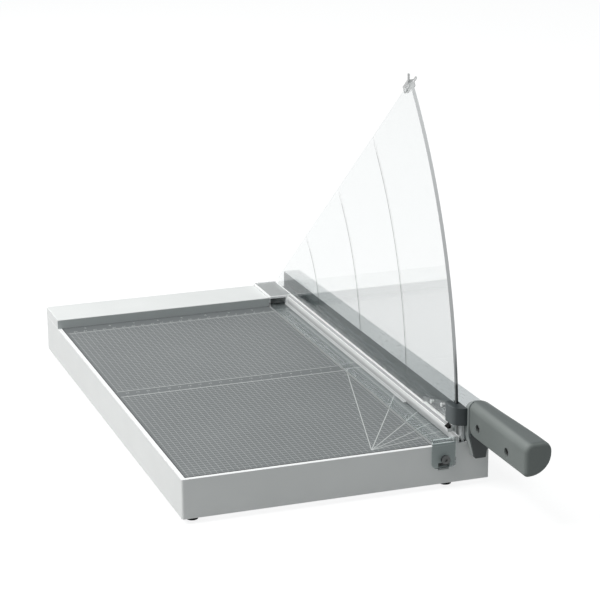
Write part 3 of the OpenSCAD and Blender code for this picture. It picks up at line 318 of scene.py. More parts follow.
def edges_eased(work, radius, segments=2, fold=30):
    """Rounds every edge of a solid that is sharper than fold, by a radius in millimetres."""
    bmesh.ops.recalc_face_normals(work, faces=work.faces)
    sharp = [edge for edge in work.edges if edge.is_manifold
             and abs(math.degrees(edge.calc_face_angle())) > fold]
    bmesh.ops.bevel(work, geom=sharp, offset=radius * MM, offset_type="OFFSET", affect="EDGES",
                    segments=segments, profile=0.5, material=-1, clamp_overlap=True)


def eased(node, name, radius, segments=3):
    """A copy of a node's own shape, merged, with its sharp edges rounded."""
    work = bmesh.new()
    work.from_mesh(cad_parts[node].data)
    bmesh.ops.remove_doubles(work, verts=work.verts, dist=0.01 * MM)
    bmesh.ops.dissolve_limit(work, angle_limit=math.radians(1), verts=work.verts, edges=work.edges)
    edges_eased(work, radius, segments)
    return piece_from(work, name)


base_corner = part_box("base_shell")[0]


def spot(x, y, z):
    """A place given in millimetres from the base's lower front left corner."""
    return base_corner + Vector((x, y, z)) * MM


def step_at(tree, axis, start, end):
    """A soft step along an axis between two places in millimetres from the base's corner."""
    corner = base_corner["XYZ".index(axis)]
    return ramp(tree, axes_of(tree)[axis], corner + start * MM, corner + end * MM)


def surface(material):
    """The surface shader of a material."""
    return material.node_tree.nodes["Principled BSDF"]


def runs_into(material, axis, start, end, color):
    """Lets a material's colour run into another one between two places along an axis."""
    tree = material.node_tree
    socket = surface(material).inputs["Base Color"]
    own_color = socket.links[0].from_socket if socket.is_linked else tuple(socket.default_value)
    tree.links.new(between(tree, step_at(tree, axis, start, end), own_color, color), socket)


rim_top = 35.2
coat_tones = (tone(231, 233, 232), tone(237, 239, 238))
coat_gloss = 0.42
white_coat = painted("white_coat", *coat_tones, coat_gloss)
tray_coat_rim_highlight = painted("tray_coat_rim_highlight", *coat_tones, coat_gloss)
# The rim's top is painted almost white: a painted highlight along the tray's edge.
runs_into(tray_coat_rim_highlight, "Z", rim_top - 0.45, rim_top - 0.1, tone(252, 253, 253))
dressed(eased("base_shell", "base_tray", 0.7), tray_coat_rim_highlight, "base", "white_paint", "base_shell")


# Cutting mat
# A grey plastic sheet let into the deck. Its light print is a grid of 5 mm, a measuring band across
# the middle, a strip with the scales in front of the paper stop, and a fan of angles at the front.
mat_low, mat_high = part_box("cutting_mat")
side_seam_shade = 0.7 * MM
front_seam_shade = 1.3 * MM
print_line = 0.3 * MM
across_line = 0.45 * MM
border_line = 1.2 * MM
ray_line = 0.75 * MM
cm_line = 0.5 * MM
mm_line = 0.2 * MM
cm_mark = 4 * MM
mm_mark = 1.8 * MM
band_mark = 3 * MM
grid_ink = 0.68
border_ink = 0.75
mark_ink = 0.6
grid_pitch = 5 * MM
zero_x = mat_low.x + 248.9 * MM
band_low = mat_low.y + 212.9 * MM
band_high = mat_low.y + 227.9 * MM
grid_back = mat_low.y + 416 * MM
grid_left = mat_low.x + 2.5 * MM
grid_front = mat_low.y + 2.2 * MM
fan_x = mat_low.x + 168.2 * MM
fan_y = mat_low.y + 6.3 * MM
fan_angles = (15, 30, 45, 60, 75)
fan_reach = 211.5 * MM


def near_zero(tree, value, width):
    """1 where a signed distance lies within half a line's width, else 0."""
    return calc(tree, "LESS_THAN", calc(tree, "ABSOLUTE", value), width / 2)


def stripes(tree, value, start, pitch, width):
    """1 on evenly spaced lines along one coordinate."""
    place = calc(tree, "SUBTRACT", value, start)
    return calc(tree, "LESS_THAN", calc(tree, "PINGPONG", place, pitch / 2), width / 2)


def within(tree, value, low, high):
    """1 where a coordinate lies between two limits."""
    return calc(tree, "MULTIPLY", calc(tree, "GREATER_THAN", value, low),
                calc(tree, "LESS_THAN", value, high))


def any_of(tree, *masks):
    """The strongest of several masks."""
    total = masks[0]
    for mask in masks[1:]:
        total = calc(tree, "MAXIMUM", total, mask)
    return total


def all_of(tree, *masks):
    """The product of several masks."""
    total = masks[0]
    for mask in masks[1:]:
        total = calc(tree, "MULTIPLY", total, mask)
    return total


def mat_print(tree, x, y):
    """How strongly the mat is printed at a place, from 0 to 1."""
    right_of_left_end = calc(tree, "GREATER_THAN", x, grid_left)
    on_grid = all_of(tree, right_of_left_end, any_of(tree, within(tree, y, grid_front, band_low),
                                                     within(tree, y, band_high, grid_back)))
    grid = all_of(tree, on_grid, any_of(tree, stripes(tree, x, zero_x, grid_pitch, print_line),
                                        stripes(tree, y, grid_front, grid_pitch, across_line)))
    borders = all_of(tree, right_of_left_end,
                     any_of(tree, *(near_zero(tree, calc(tree, "SUBTRACT", y, place), border_line)
                                    for place in (band_low, band_high, grid_back))))
    cm_marks = stripes(tree, x, zero_x, 10 * MM, cm_line)
    mm_marks = stripes(tree, x, zero_x, 1 * MM, mm_line)
    marks = any_of(tree, all_of(tree, cm_marks, within(tree, y, grid_back, grid_back + cm_mark)),
                   all_of(tree, mm_marks, within(tree, y, grid_back, grid_back + mm_mark)),
                   all_of(tree, cm_marks, within(tree, y, band_low, band_low + band_mark)))
    px = calc(tree, "SUBTRACT", x, fan_x)
    py = calc(tree, "SUBTRACT", y, fan_y)
    rays = []
    for angle in fan_angles:
        dx = math.cos(math.radians(angle))
        dy = math.sin(math.radians(angle))
        along_ray = calc(tree, "ADD", calc(tree, "MULTIPLY", px, dx), calc(tree, "MULTIPLY", py, dy))
        off_ray = calc(tree, "SUBTRACT", calc(tree, "MULTIPLY", px, dy), calc(tree, "MULTIPLY", py, dx))
        rays.append(all_of(tree, near_zero(tree, off_ray, ray_line),
                           within(tree, along_ray, 0, fan_reach)))
    return any_of(tree, calc(tree, "MULTIPLY", grid, grid_ink),
                  calc(tree, "MULTIPLY", borders, border_ink),
                  calc(tree, "MULTIPLY", marks, mark_ink), *rays)


mat_paint, tree, output = new_material("printed_mat")
shader = principled(tree, output, tone(140), 0.5)
place = axes_of(tree)
x = place["X"]
y = place["Y"]
ground = between(tree, span(tree, grain(tree, 9), 0, 1), tone(111, 115, 116), tone(118, 122, 123))
strip = any_of(tree, calc(tree, "GREATER_THAN", y, grid_back), within(tree, y, band_low, band_high))
shaded = between(tree, strip, ground, tone(115, 119, 120))
inked = between(tree, mat_print(tree, x, y), shaded, tone(205, 208, 207))
# A narrow dark band round the mat's edges is painted shade in the seam between mat and rim.
inner = all_of(tree, within(tree, x, mat_low.x + side_seam_shade, mat_high.x - side_seam_shade),
               calc(tree, "GREATER_THAN", y, mat_low.y + front_seam_shade))
seam_shaded = between(tree, calc(tree, "SUBTRACT", 1, inner), inked, tone(34, 37, 38))
tree.links.new(seam_shaded, shader.inputs["Base Color"])
bump(tree, shader, grain(tree, 2600, 2), 0.00002)
dressed(eased("cutting_mat", "mat_sheet", 0.25), mat_paint, "base", "printed_mat", "cutting_mat")

number_height = 3.6 * MM
number_lift = 0.02 * MM


def lettered(work, text, place, height):
    """Adds flat printed characters, made mesh first, at a place on the mat."""
    curve = bpy.data.curves.new("number", "FONT")
    curve.body = text
    curve.size = height
    curve.align_x = "CENTER"
    curve.align_y = "CENTER"
    curve.resolution_u = 2
    curve.extrude = number_lift / 2
    writer = bpy.data.objects.new("number", curve)
    bpy.context.collection.objects.link(writer)
    bpy.context.view_layer.update()
    data = bpy.data.meshes.new_from_object(writer.evaluated_get(bpy.context.evaluated_depsgraph_get()))
    data.transform(Matrix.Translation(place))
    work.from_mesh(data)
    bpy.data.objects.remove(writer)
    bpy.data.curves.remove(curve)
    bpy.data.meshes.remove(data)


number_z = rim_top + 0.05
cm_zero = 254.8
inch_zero = 255.4
inch = 25.4
cm_row = 424.6
band_row = 225.6
inch_row = 432.8
fan_centre = (172.3, 10.4)
large = 1.35 * number_height
small = 0.8 * number_height


def on_fan(angle, away, across=0.0, back=0.0):
    """A place for a number on the fan, away from its centre at an angle, moved across and back."""
    turn = math.radians(angle)
    return spot(fan_centre[0] + away * math.cos(turn) + across,
                fan_centre[1] + away * math.sin(turn) + back, number_z)


numbers = bmesh.new()
for count in range(1, 25):
    lettered(numbers, str(count), spot(cm_zero - 10 * count, cm_row, number_z), number_height)
    lettered(numbers, str(count), spot(cm_zero - 10 * count, band_row, number_z), number_height)
for count in range(1, 10):
    lettered(numbers, str(count), spot(inch_zero - inch * count, inch_row, number_z), large)
for count in range(4, 21, 4):
    lettered(numbers, str(count), on_fan(75, 10 * count, across=-3.4), small)
for angle, away in ((75, 71.5), (60, 64.7), (45, 58.1), (30, 52.9), (15, 49.5)):
    lettered(numbers, str(angle), on_fan(angle, away, back=1.6), small)
bmesh.ops.remove_doubles(numbers, verts=numbers.verts, dist=0.001 * MM)
print_ink, tree, output = new_material("print_ink")
shader = principled(tree, output, tone(196, 199, 198), 0.5)
wear = grain(tree, 600, 3)
mottled(tree, shader, wear, tone(178, 182, 181), tone(206, 209, 208))
bump(tree, shader, wear, 0.00001)
dressed(piece_from(numbers, "mat_numbers"), print_ink, "base", "printed_mat")


# Paper stop
# A white moulding along the back edge, screwed on from below. Its front carries a dark measuring
# face under a thin white lip, and a notch at its right end takes the back of the clamp.
dressed(eased("paper_stop", "stop_moulding", 0.5), white_coat, "base", "white_paint", "paper_stop")
stop_face_plastic = painted("stop_face_plastic", tone(178, 183, 183), tone(185, 190, 190), 0.5,
                            speck=1500)
dressed(eased("paper_stop_rule", "stop_face", 0.15), stop_face_plastic, "base", "dark_plastic",
        "paper_stop_rule")


# Steel inside the base
# Rail, bed knife, bracket, bolts, screws, cup and pin are zinc-plated or ground steel, with the
# fine lines of their machining. They keep the construction's own shapes.
def machined(name, color, roughness, stretch=(1, 1, 1)):
    """Bare or plated steel with fine lines along its length."""
    material, tree, output = new_material(name)
    shader = principled(tree, output, color, roughness, Metallic=1.0)
    lines = grain(tree, 2400, 2, stretch)
    tree.links.new(span(tree, lines, roughness - 0.04, roughness + 0.05), shader.inputs["Roughness"])
    bump(tree, shader, lines, 0.000002)
    return material


def softened(material, metallic, specular):
    """Sets how much of a material is metal and how much it mirrors."""
    shader = surface(material)
    shader.inputs["Metallic"].default_value = metallic
    shader.inputs["Specular IOR Level"].default_value = specular


zinc = machined("zinc_plate", tone(196, 198, 200), 0.35)
ground_steel = machined("ground_steel", tone(190, 193, 196), 0.24, (1, 0.04, 1))
plated = ("bottom_plate", "bottom_plate_screws", "knife_rail", "bed_knife_screws",
          "paper_stop_screws", "pivot_bracket", "pivot_bracket_screws", "pivot_bolt", "pivot_nut",
          "clamp_guide_nut", "clamp_guide_pin", "spring_cup", "foot_screws",
          "blade_screws", "pivot_washer", "disc_spring", "guide_screw", "handle_tang",
          "tang_screws", "clamp_spring_front", "clamp_spring_back")


def finish_node(node, material):
    """Gives a node that shows as built its material."""
    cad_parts[node].data.materials.clear()
    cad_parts[node].data.materials.append(material)


for node in plated:
    finish_node(node, zinc)
finish_node("bed_knife", ground_steel)
dull_zinc = machined("dull_zinc", tone(96, 98, 98), 0.5)
finish_node("clamp_guide_screw", dull_zinc)
bright_zinc = machined("bright_zinc", tone(238, 240, 240), 0.5)
softened(bright_zinc, 0.2, 0.5)
finish_node("guard_rivets", bright_zinc)


# Feet
# Four moulded feet of black rubber, one under each corner of the bottom plate. A screw in the well
# of each holds it.
def rubbery(name):
    """Matt black rubber with a dusty bloom."""
    material, tree, output = new_material(name)
    shader = principled(tree, output, tone(22), 0.75, Specular_IOR_Level=0.1)
    bloom = grain(tree, 400, 3)
    mottled(tree, shader, bloom, tone(16), tone(30))
    bump(tree, shader, bloom, 0.00005)
    return material


rubber = rubbery("black_rubber")
for corner in ("front_left", "front_right", "rear_left", "rear_right"):
    dressed(eased("foot_" + corner, "rubber_foot_" + corner, 0.4), rubber, "base",
            "black_rubber", "foot_" + corner)


# Arm and blade
# A silver-painted steel channel that turns about the bolt at its back end, with the hardened
# blade screwed to its left side.
def partly(piece, material, picked):
    """Gives the faces of a piece that a test picks a further material."""
    piece.data.materials.append(material)
    for face in piece.data.polygons:
        if picked(face):
            face.material_index = len(piece.data.materials) - 1


arm_silver = machined("arm_silver", tone(229, 232, 233), 0.3, (1, 0.05, 1))
softened(arm_silver, 0.45, 0.5)
# The arm is painted lighter from 60 mm to 220 mm back: painted light on its far part.
runs_into(arm_silver, "Y", 60, 220, tone(250, 252, 252))
# The arm's left side faces get a dark grey of their own: painted shade on the same silver paint.
arm_side_painted_shade = machined("arm_side_painted_shade", tone(118, 124, 125), 0.8, (1, 0.05, 1))
softened(arm_side_painted_shade, 0, 0.05)
arm_channel = eased("blade_arm", "arm_channel", 1.2, 4)
dressed(arm_channel, arm_silver, "arm", "arm_paint", "blade_arm")
partly(arm_channel, arm_side_painted_shade, lambda face: face.normal.x < -0.6)
blade_steel = machined("blade_steel", tone(248, 250, 250), 0.4, (1, 0.04, 1))
softened(blade_steel, 0.1, 0.3)
# The blade is painted almost white at its front end as a highlight and dark grey from 50 mm back as
# painted shade.
runs_into(blade_steel, "Y", 24, 50, tone(104, 109, 111))
dressed(eased("cutting_blade", "arm_blade", 0.15), blade_steel, "arm", "blade_steel", "cutting_blade")
bush_brass = machined("bush_brass", tone(196, 166, 104), 0.3)
finish_node("pivot_bush", bush_brass)


# Bolster and grip
# The bolster is a dark grey moulding between arm and grip; the grip is a softer grey one over
# the tang, with two screws sunk in its left side.
def rounded(corners, steps=8):
    """A closed outline from corners, each across, up and its radius, with so many steps a corner."""
    outline = []
    for k, (across, up, radius) in enumerate(corners):
        here = Vector((across, up))
        behind = (Vector(corners[k - 1][:2]) - here).normalized()
        ahead = (Vector(corners[(k + 1) % len(corners)][:2]) - here).normalized()
        half = behind.angle(ahead) / 2
        centre = here + (behind + ahead).normalized() * (radius / math.sin(half))
        first = here + behind * (radius / math.tan(half)) - centre
        last = here + ahead * (radius / math.tan(half)) - centre
        turn = -first.angle_signed(last)
        outline += [centre + Matrix.Rotation(turn * step / steps, 2) @ first
                    for step in range(steps + 1)]
    return outline


def lofted(work, stations):
    """A skin through outlines along the cutter, each with its depth, closed at both ends."""
    begun = len(work.verts)
    count = len(stations[0][1])
    bmesh.ops.create_circle(work, segments=count, radius=1)
    work.verts.ensure_lookup_table()
    ring = work.verts[begun:]
    rim = list({edge for vert in ring for edge in vert.link_edges})
    first_rim = rim
    for step, (depth, outline) in enumerate(stations):
        if step:
            made = set(bmesh.ops.extrude_edge_only(work, edges=rim)["geom"])
            ring = [next(edge.other_vert(vert) for edge in vert.link_edges
                         if edge.other_vert(vert) in made) for vert in ring]
            fresh = set(ring)
            rim = [edge for edge in work.edges if edge.verts[0] in fresh and edge.verts[1] in fresh]
        for vert, (across, up) in zip(ring, outline):
            vert.co = spot(across, depth, up)
    bmesh.ops.contextual_create(work, geom=first_rim)
    bmesh.ops.contextual_create(work, geom=rim)


def blend_of(depth, table):
    """A value read off a table of depths and values, straight between its entries."""
    for (d0, v0), (d1, v1) in zip(table, table[1:]):
        if depth <= d1:
            return v0 + (v1 - v0) * (depth - d0) / (d1 - d0)
    return table[-1][1]


bolster_left = 253
mould_right = 278
mould_top = 76
knee = 46
foot_left = 258.6
foot_right = 268.6
foot_low = 24.5


def bolster_outline(inset, crown):
    """The bolster seen from the front: a narrow foot, slanted knees and a round shoulder."""
    return rounded([(foot_left + inset, foot_low + inset, 0.8),
                    (foot_right - inset, foot_low + inset, 0.8),
                    (foot_right + 1 - inset, 31 + inset / 2, 3), (mould_right - inset, knee, 5),
                    (mould_right - inset, mould_top - crown, 16.4 - inset),
                    (bolster_left + inset, mould_top - crown, 7), (bolster_left + inset, knee, 10)])


spark_speck = 1600
spark_relief = 0.00002
grip_skin = painted("grip_skin", tone(120, 126, 124), tone(127, 133, 131), 0.5, spark_speck,
                    spark_relief)
bolster_skin = painted("bolster_skin", tone(142, 148, 147), tone(148, 154, 153), 0.45, spark_speck,
                       spark_relief)
softened(grip_skin, 0, 0.3)
softened(bolster_skin, 0, 0.3)
# The bolster is painted lighter below 50 mm towards its foot: painted light.
runs_into(bolster_skin, "Z", 50, 40, tone(176, 181, 180))
# The grip's top, above 74.6 mm, is painted darker: painted shade.
runs_into(grip_skin, "Z", 74.6, 75.9, tone(100, 106, 105))
bolster = bmesh.new()
lofted(bolster, [(-2, bolster_outline(1.2, 3.6)), (-2.4, bolster_outline(0.5, 3.2)),
                 (-3.2, bolster_outline(0, 2.7)), (-5, bolster_outline(0, 1.8)),
                 (-7, bolster_outline(0, 0.9)), (-9.2, bolster_outline(0, 0.2)),
                 (-9.8, bolster_outline(0.25, 0.3)), (-10, bolster_outline(0.8, 0.8))])


def lip_outline(inset):
    """The bolster's lower part, which reaches under the grip."""
    return rounded([(foot_left + inset, foot_low + inset, 0.8),
                    (foot_right - inset, foot_low + inset, 0.8),
                    (foot_right + 1 - inset, 31 + inset / 2, 2),
                    (mould_right - 0.1 - inset, knee + 0.1 - inset, 1),
                    (bolster_left + 0.1 + inset, knee + 0.1 - inset, 1)])


dressed(piece_from(bolster, "bolster_moulding"), bolster_skin, "arm", "dark_plastic", "arm_bolster")
# The bolster's lower part under the grip is painted nearly black: painted shade under the grip.
lip_painted_shade = painted("lip_painted_shade", tone(58, 64, 65), tone(64, 70, 71), 0.4, spark_speck, spark_relief)
lip = bmesh.new()
lofted(lip, [(-10.1, lip_outline(0.05)), (-13.5, lip_outline(0)), (-13.85, lip_outline(0.15)),
             (-14, lip_outline(0.5))])
dressed(piece_from(lip, "bolster_lip"), lip_painted_shade, "arm", "dark_plastic", "arm_bolster")

grip_left = 254
grip_low = 46.5
grip_back = -10
grip_front = -121
end_round = 3.6
heel_round = 10
side_share = 0.35


def grip_outline(depth, inset):
    """The grip seen from the front at a depth: flat left side, round shoulder, full lower right."""
    along = grip_back - depth
    lift = 0
    if along < heel_round:
        lift = heel_round - math.sqrt(heel_round ** 2 - (heel_round - along) ** 2)
    shoulder = blend_of(along, [(0, 16.4), (30, 14.2), (60, 11.3), (90, 8.9), (111, 8.4)])
    low_left = blend_of(along, [(0, 1.2), (30, 1.6), (111, 4)])
    low_right = min(19.2, 29.2 - lift - shoulder)
    right = mould_right - inset * side_share
    return rounded([(grip_left + inset, grip_low + lift + inset, max(low_left - inset, 0.4)),
                    (right, grip_low + lift + inset, max(low_right - inset, 0.6)),
                    (right, mould_top - inset, shoulder - inset),
                    (grip_left + inset, mould_top - inset, 8 - inset)], 10)


def sunk(piece, cutter):
    """Cuts a solid out of a piece and keeps the result as its mesh."""
    cut = piece.modifiers.new("cut", "BOOLEAN")
    cut.object = cutter
    cut.solver = "EXACT"
    piece.modifiers.move(len(piece.modifiers) - 1, 0)
    shown = piece.modifiers[-1].show_viewport
    piece.modifiers[-1].show_viewport = False
    result = bpy.data.meshes.new_from_object(piece.evaluated_get(bpy.context.evaluated_depsgraph_get()))
    piece.modifiers.remove(piece.modifiers[0])
    piece.modifiers[-1].show_viewport = shown
    piece.data = result
    bpy.data.objects.remove(cutter)


grip_stations = [(grip_back, grip_outline(grip_back, 0.9)),
                 (grip_back - 0.15, grip_outline(grip_back - 0.15, 0.4)),
                 (grip_back - 0.6, grip_outline(grip_back - 0.6, 0))]
grip_stations += [(grip_back - along, grip_outline(grip_back - along, 0))
                  for along in (1.2, 2, 3, 4.2, 5.6, 7.4, 10, 16, 24, 34, 44, 54, 64, 74, 84, 94, 102)]
for step in range(9):
    turn = math.radians(90 * step / 8)
    depth = grip_front + end_round - end_round * math.sin(turn)
    grip_stations.append((depth, grip_outline(depth, end_round * (1 - math.cos(turn)))))
grip_body = bmesh.new()
lofted(grip_body, grip_stations)
grip_piece = piece_from(grip_body, "grip_moulding")
well_radius = 3.9 * MM
well_depth = 7.2 * MM
well_height = 56.5
wells = bmesh.new()
for depth in (-27, -85):
    sideways = Matrix.Rotation(math.radians(90), 4, "Y")
    bmesh.ops.create_cone(wells, cap_ends=True, segments=48, radius1=well_radius, radius2=well_radius,
                          depth=well_depth,
                          matrix=Matrix.Translation(spot(grip_left, depth, well_height)) @ sideways)
well_data = bpy.data.meshes.new("wells")
wells.to_mesh(well_data)
wells.free()
well_cutter = bpy.data.objects.new("wells", well_data)
bpy.context.collection.objects.link(well_cutter)
sunk(grip_piece, well_cutter)
dressed(grip_piece, grip_skin, "arm", "grip_plastic", "grip")
black_screw = machined("black_screw", tone(120), 0.35)
finish_node("grip_screws", black_screw)


# Guide block
# A dark moulding with rounded edges, screwed to the arm's front end. The guard's curved edge runs
# in its slot.
block_plastic = painted("block_plastic", tone(42, 50, 52), tone(49, 57, 59), 0.45, spark_speck)
guide_left = (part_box("guard_guide")[0] - base_corner).x / MM
# The block's rounded left end is painted lighter: a painted highlight where it faces the lamp.
runs_into(block_plastic, "X", guide_left + 4, guide_left - 0.5, tone(104, 110, 111))
dressed(eased("guard_guide", "guide_block", 1.1, 4), block_plastic, "arm", "dark_plastic",
        "guard_guide")


# Clamp rail, rear block, front tab and bumper
# Clear plastic mouldings: a flange that lies on the mat, a bar upright along the cut, a block in the
# paper stop's notch and a tab over the front wall. Rough sides make them satin. Their light and shade
# is partly painted: white strips as highlights along the bar's edges, a white upper bar, grey and white
# flange edges and a grey tint on the tab. A rubber wedge is pressed onto the bar's front end.
def clear(name, tint, roughness, refraction=1.47):
    """Clear plastic that lets the lamps and the light from the floor and walls through."""
    material, tree, output = new_material(name)
    shader = principled(tree, output, tint, roughness, Transmission_Weight=1.0, IOR=refraction)
    path = tree.nodes.new("ShaderNodeLightPath")
    open_to_lamps = tree.nodes.new("ShaderNodeBsdfTransparent")
    open_to_lamps.inputs["Color"].default_value = tint
    mix = tree.nodes.new("ShaderNodeMixShader")
    mirrored = calc(tree, "GREATER_THAN", path.outputs["Is Glossy Ray"],
                    path.outputs["Is Transmission Ray"])
    inside = calc(tree, "PINGPONG", path.outputs["Transmission Depth"], 1)
    from_outside = calc(tree, "GREATER_THAN", mirrored, inside)
    lets_pass = any_of(tree, path.outputs["Is Shadow Ray"], path.outputs["Is Diffuse Ray"], from_outside)
    tree.links.new(lets_pass, mix.inputs["Fac"])
    tree.links.new(shader.outputs[0], mix.inputs[1])
    tree.links.new(open_to_lamps.outputs[0], mix.inputs[2])
    tree.links.new(mix.outputs[0], output.inputs["Surface"])
    return material


def prism(work, outline, low, high):
    """A flat-sided solid over a plan outline in millimetres, between two heights."""
    corners = [work.verts.new(spot(x, y, low)) for x, y in outline]
    face = work.faces.new(corners)
    raised = bmesh.ops.extrude_face_region(work, geom=[face])["geom"]
    bmesh.ops.translate(work, vec=(0, 0, (high - low) * MM),
                        verts=[part for part in raised if isinstance(part, bmesh.types.BMVert)])


def block(work, x0, x1, y0, y1, z0, z1):
    """A box between two corners in millimetres."""
    middle = spot((x0 + x1) / 2, (y0 + y1) / 2, (z0 + z1) / 2)
    size = Matrix.Diagonal(((x1 - x0) * MM, (y1 - y0) * MM, (z1 - z0) * MM, 1))
    bmesh.ops.create_cube(work, size=1, matrix=Matrix.Translation(middle) @ size)


def moulded(name, material, node, ease, *boxes):
    """A piece of the clamp from boxes: left, right, front, back, low and high, with eased edges."""
    work = bmesh.new()
    for box in boxes:
        block(work, *box)
    if ease:
        edges_eased(work, ease)
    stands_for = [node] if node else []
    dressed(piece_from(work, name), material, "clamp", "clear_plastic", *stands_for)


def satin(name, color, roughness=0.4, scale=900, relief=0.00002):
    """Plastic with a rough surface that looks solid, with fine lines along its length."""
    material, tree, output = new_material(name)
    shader = principled(tree, output, color, roughness)
    lines = grain(tree, scale, 2, (1, 0.15, 1))
    darker = tuple(0.94 * part for part in color[:3]) + (1,)
    mottled(tree, shader, lines, darker, color)
    bump(tree, shader, lines, relief)
    return material


def faint(name, color, share, roughness=0.4):
    """Clear plastic too thin to bend light: a pale skin of which only a share shows."""
    material = satin(name, color, roughness)
    surface(material).inputs["Alpha"].default_value = share
    return material


flange_plastic = clear("flange_plastic", tone(250, 252, 252), 0.08, 1.2)
frosted_plastic = satin("frosted_plastic", tone(200, 202, 202))
bar_plastic = satin("bar_plastic", tone(182, 184, 184))
# The bar is painted grey low down and white from 40 to 45 mm up: painted light on a clear bar.
runs_into(bar_plastic, "Z", 40, 45, tone(250, 251, 251))
rib_plastic = satin("rib_plastic", tone(212, 214, 214))
channel_plastic = satin("channel_plastic", tone(150, 152, 152))
white_plastic = satin("white_plastic", tone(252, 253, 253))
# The front tab's grey tint is painted shade on clear plastic.
tab_shade_tint = clear("tab_shade_tint", tone(226, 230, 230), 0.06, 1.2)

flange_low = 35.35
flange_top = 37.55
rail_back = 434.5
flange_outline = [(224.5, -0.45), (249.2, -0.45), (249.2, 2), (252.4, 2), (252.4, rail_back),
                  (244.2, rail_back), (244.2, 485), (225.9, 485), (225.9, rail_back), (224.5, rail_back)]
flange = bmesh.new()
prism(flange, flange_outline, flange_low, flange_top)
edges_eased(flange, 0.3)
flange_piece = piece_from(flange, "clamp_flange")
dressed(flange_piece, flange_plastic, "clamp", "clear_plastic", "clamp_rail")
left_part = spot(230, 0, 0).x
front_part = spot(0, 1, 0).y
# The flange's left edge faces are painted grey as painted shade, and its front faces nearly white as a
# painted highlight.
partly(flange_piece, satin("flange_edge_painted_shade", tone(168, 171, 171)),
       lambda face: face.normal.x < -0.3 and face.center.x < left_part)
partly(flange_piece, satin("flange_front_painted_highlight", tone(226, 229, 229)),
       lambda face: face.normal.y < -0.3 and face.center.y < front_part)

bar_left = 244
bar_right = 249.15
bar_low = 40.4
bar_top = 47.35
bar_step = 44.3
foot_under = 37.6
end_front = -0.4
end_back = 12.9
rim_back = 434.4
rib_front = 106
rib_under = 37.4
bar_section = [(bar_left, bar_low), (bar_right, bar_low), (bar_right, bar_top), (247.1, bar_top),
               (bar_left, 45.25)]
bar = bmesh.new()
lofted(bar, [(20.05, bar_section), (rail_back, bar_section)])
block(bar, bar_left, bar_right, 13, 19.95, bar_low, bar_step)
edges_eased(bar, 0.2)
dressed(piece_from(bar, "clamp_bar"), bar_plastic, "clamp", "clear_plastic", "clamp_rail")
moulded("clamp_bar_foot", bar_plastic, "clamp_rail", 0.3,
        (bar_left, 249.2, 13.1, rail_back, foot_under, 40.35))
strip_section = [(244.9, 45.86), (246.8, 47.16), (246.75, 47.26), (244.85, 45.96)]
channel = bmesh.new()
lofted(channel, [(20.3, strip_section), (434.3, strip_section)])
dressed(piece_from(channel, "clamp_bar_channel"), channel_plastic, "clamp", "clear_plastic",
        "clamp_rail")
moulded("clamp_bar_end", frosted_plastic, "clamp_rail", 0.5,
        (bar_left, 248.1, end_front, end_back, foot_under, 41.8))
moulded("clamp_bar_lip", white_plastic, "clamp_rail", 0.3,
        (248.15, 249.2, end_front, end_back, foot_under, 41.85))
# Thin white strips along the bar's edges are painted highlights.
moulded("clamp_bar_edge_highlights", white_plastic, "clamp_rail", 0,
        (244.02, 244.85, 20.1, rim_back, 44.8, 45.75),
        (248.2, bar_right, 13.1, rim_back, 46.9, 47.45),
        (247.3, bar_right, 13.1, 20, bar_step, 47.3))
moulded("clamp_ribs", rib_plastic, "clamp_rail", 0.2,
        (242.95, 243.85, rib_front, rail_back, rib_under, 38.9),
        (241.2, 242, rib_front, rail_back, rib_under, 38.55))

cap = eased("clamp_rear_block", "clamp_cap", 0.4)
dressed(cap, white_plastic, "clamp", "clear_plastic", "clamp_rear_block")
tray_floor = spot(0, 0, 45.95).z
partly(cap, faint("tray_plastic", tone(206, 209, 209), 0.72, 0.3),
       lambda face: face.normal.z < -0.9
       or (face.normal.z > 0.9 and abs(face.center.z - tray_floor) < 0.2 * MM))

tab_left = 223.5
tab_right = 245.3
tab_low = 15.3
tab_top = 41.85
slot_left = 232.7
slot_right = 237.3
slot_low = 18.4
slot_top = 25.5
slot_round = 2.29


def tab_outline(inset):
    """The front tab seen from the front, with round lower corners."""
    return rounded([(tab_left + inset, tab_low + inset, 4), (tab_right - inset, tab_low + inset, 4),
                    (tab_right - inset, tab_top - inset, 0.5), (tab_left + inset, tab_top - inset, 0.5)])


tab = bmesh.new()
lofted(tab, [(-0.5, tab_outline(0.3)), (-0.8, tab_outline(0)), (-2.9, tab_outline(0)),
             (-3.2, tab_outline(0.3))])
tab_piece = piece_from(tab, "clamp_tab")
slot_outline = rounded([(slot_left, slot_low, slot_round), (slot_right, slot_low, slot_round),
                        (slot_right, slot_top, slot_round), (slot_left, slot_top, slot_round)])
slot_solid = bmesh.new()
lofted(slot_solid, [(0, slot_outline), (-4, slot_outline)])
sunk(tab_piece, piece_from(slot_solid, "tab_slot"))
dressed(tab_piece, tab_shade_tint, "clamp", "clear_plastic", "clamp_front_tab")
lug_plastic = satin("lug_plastic", tone(150, 154, 154))
moulded("clamp_lug", lug_plastic, "clamp_front_tab", 0.4, (230, 240, -0.5, 12, 13, 16.5))
glint_front = -3.19
glint_back = -3.05
moulded("tab_edge_glints", white_plastic, "clamp_front_tab", 0,
        (244.6, 245.25, glint_front, glint_back, 24, 41.2),
        (235.5, 245.2, glint_front, glint_back, 41.2, 41.8),
        (238.8, 244.2, glint_front, glint_back, 15.7, 16.3))
wedge_section = [(244, 44.4), (247.2, 44.4), (247.2, 47.95), (244, 45.1)]
wedge = bmesh.new()
lofted(wedge, [(13.05, wedge_section), (19.95, wedge_section)])
edges_eased(wedge, 0.25)
dressed(piece_from(wedge, "bumper"), rubber, "clamp", "black_rubber", "clamp_bumper")


# Guard, cheek and clip
# A plate of clear plastic with an edge round the pivot and three etched arcs, stiffened at the
# front by a clear cheek with two rivets. Its sawn edges are frosted, and the curved one carries painted
# shade as well; a clip closes its tip.
pivot_y = 454
pivot_z = 36
guard_reach = 445
etched_shares = (0.236, 0.494, 0.751)
etch_width = 0.55 * MM
etch_roughness = 0.35

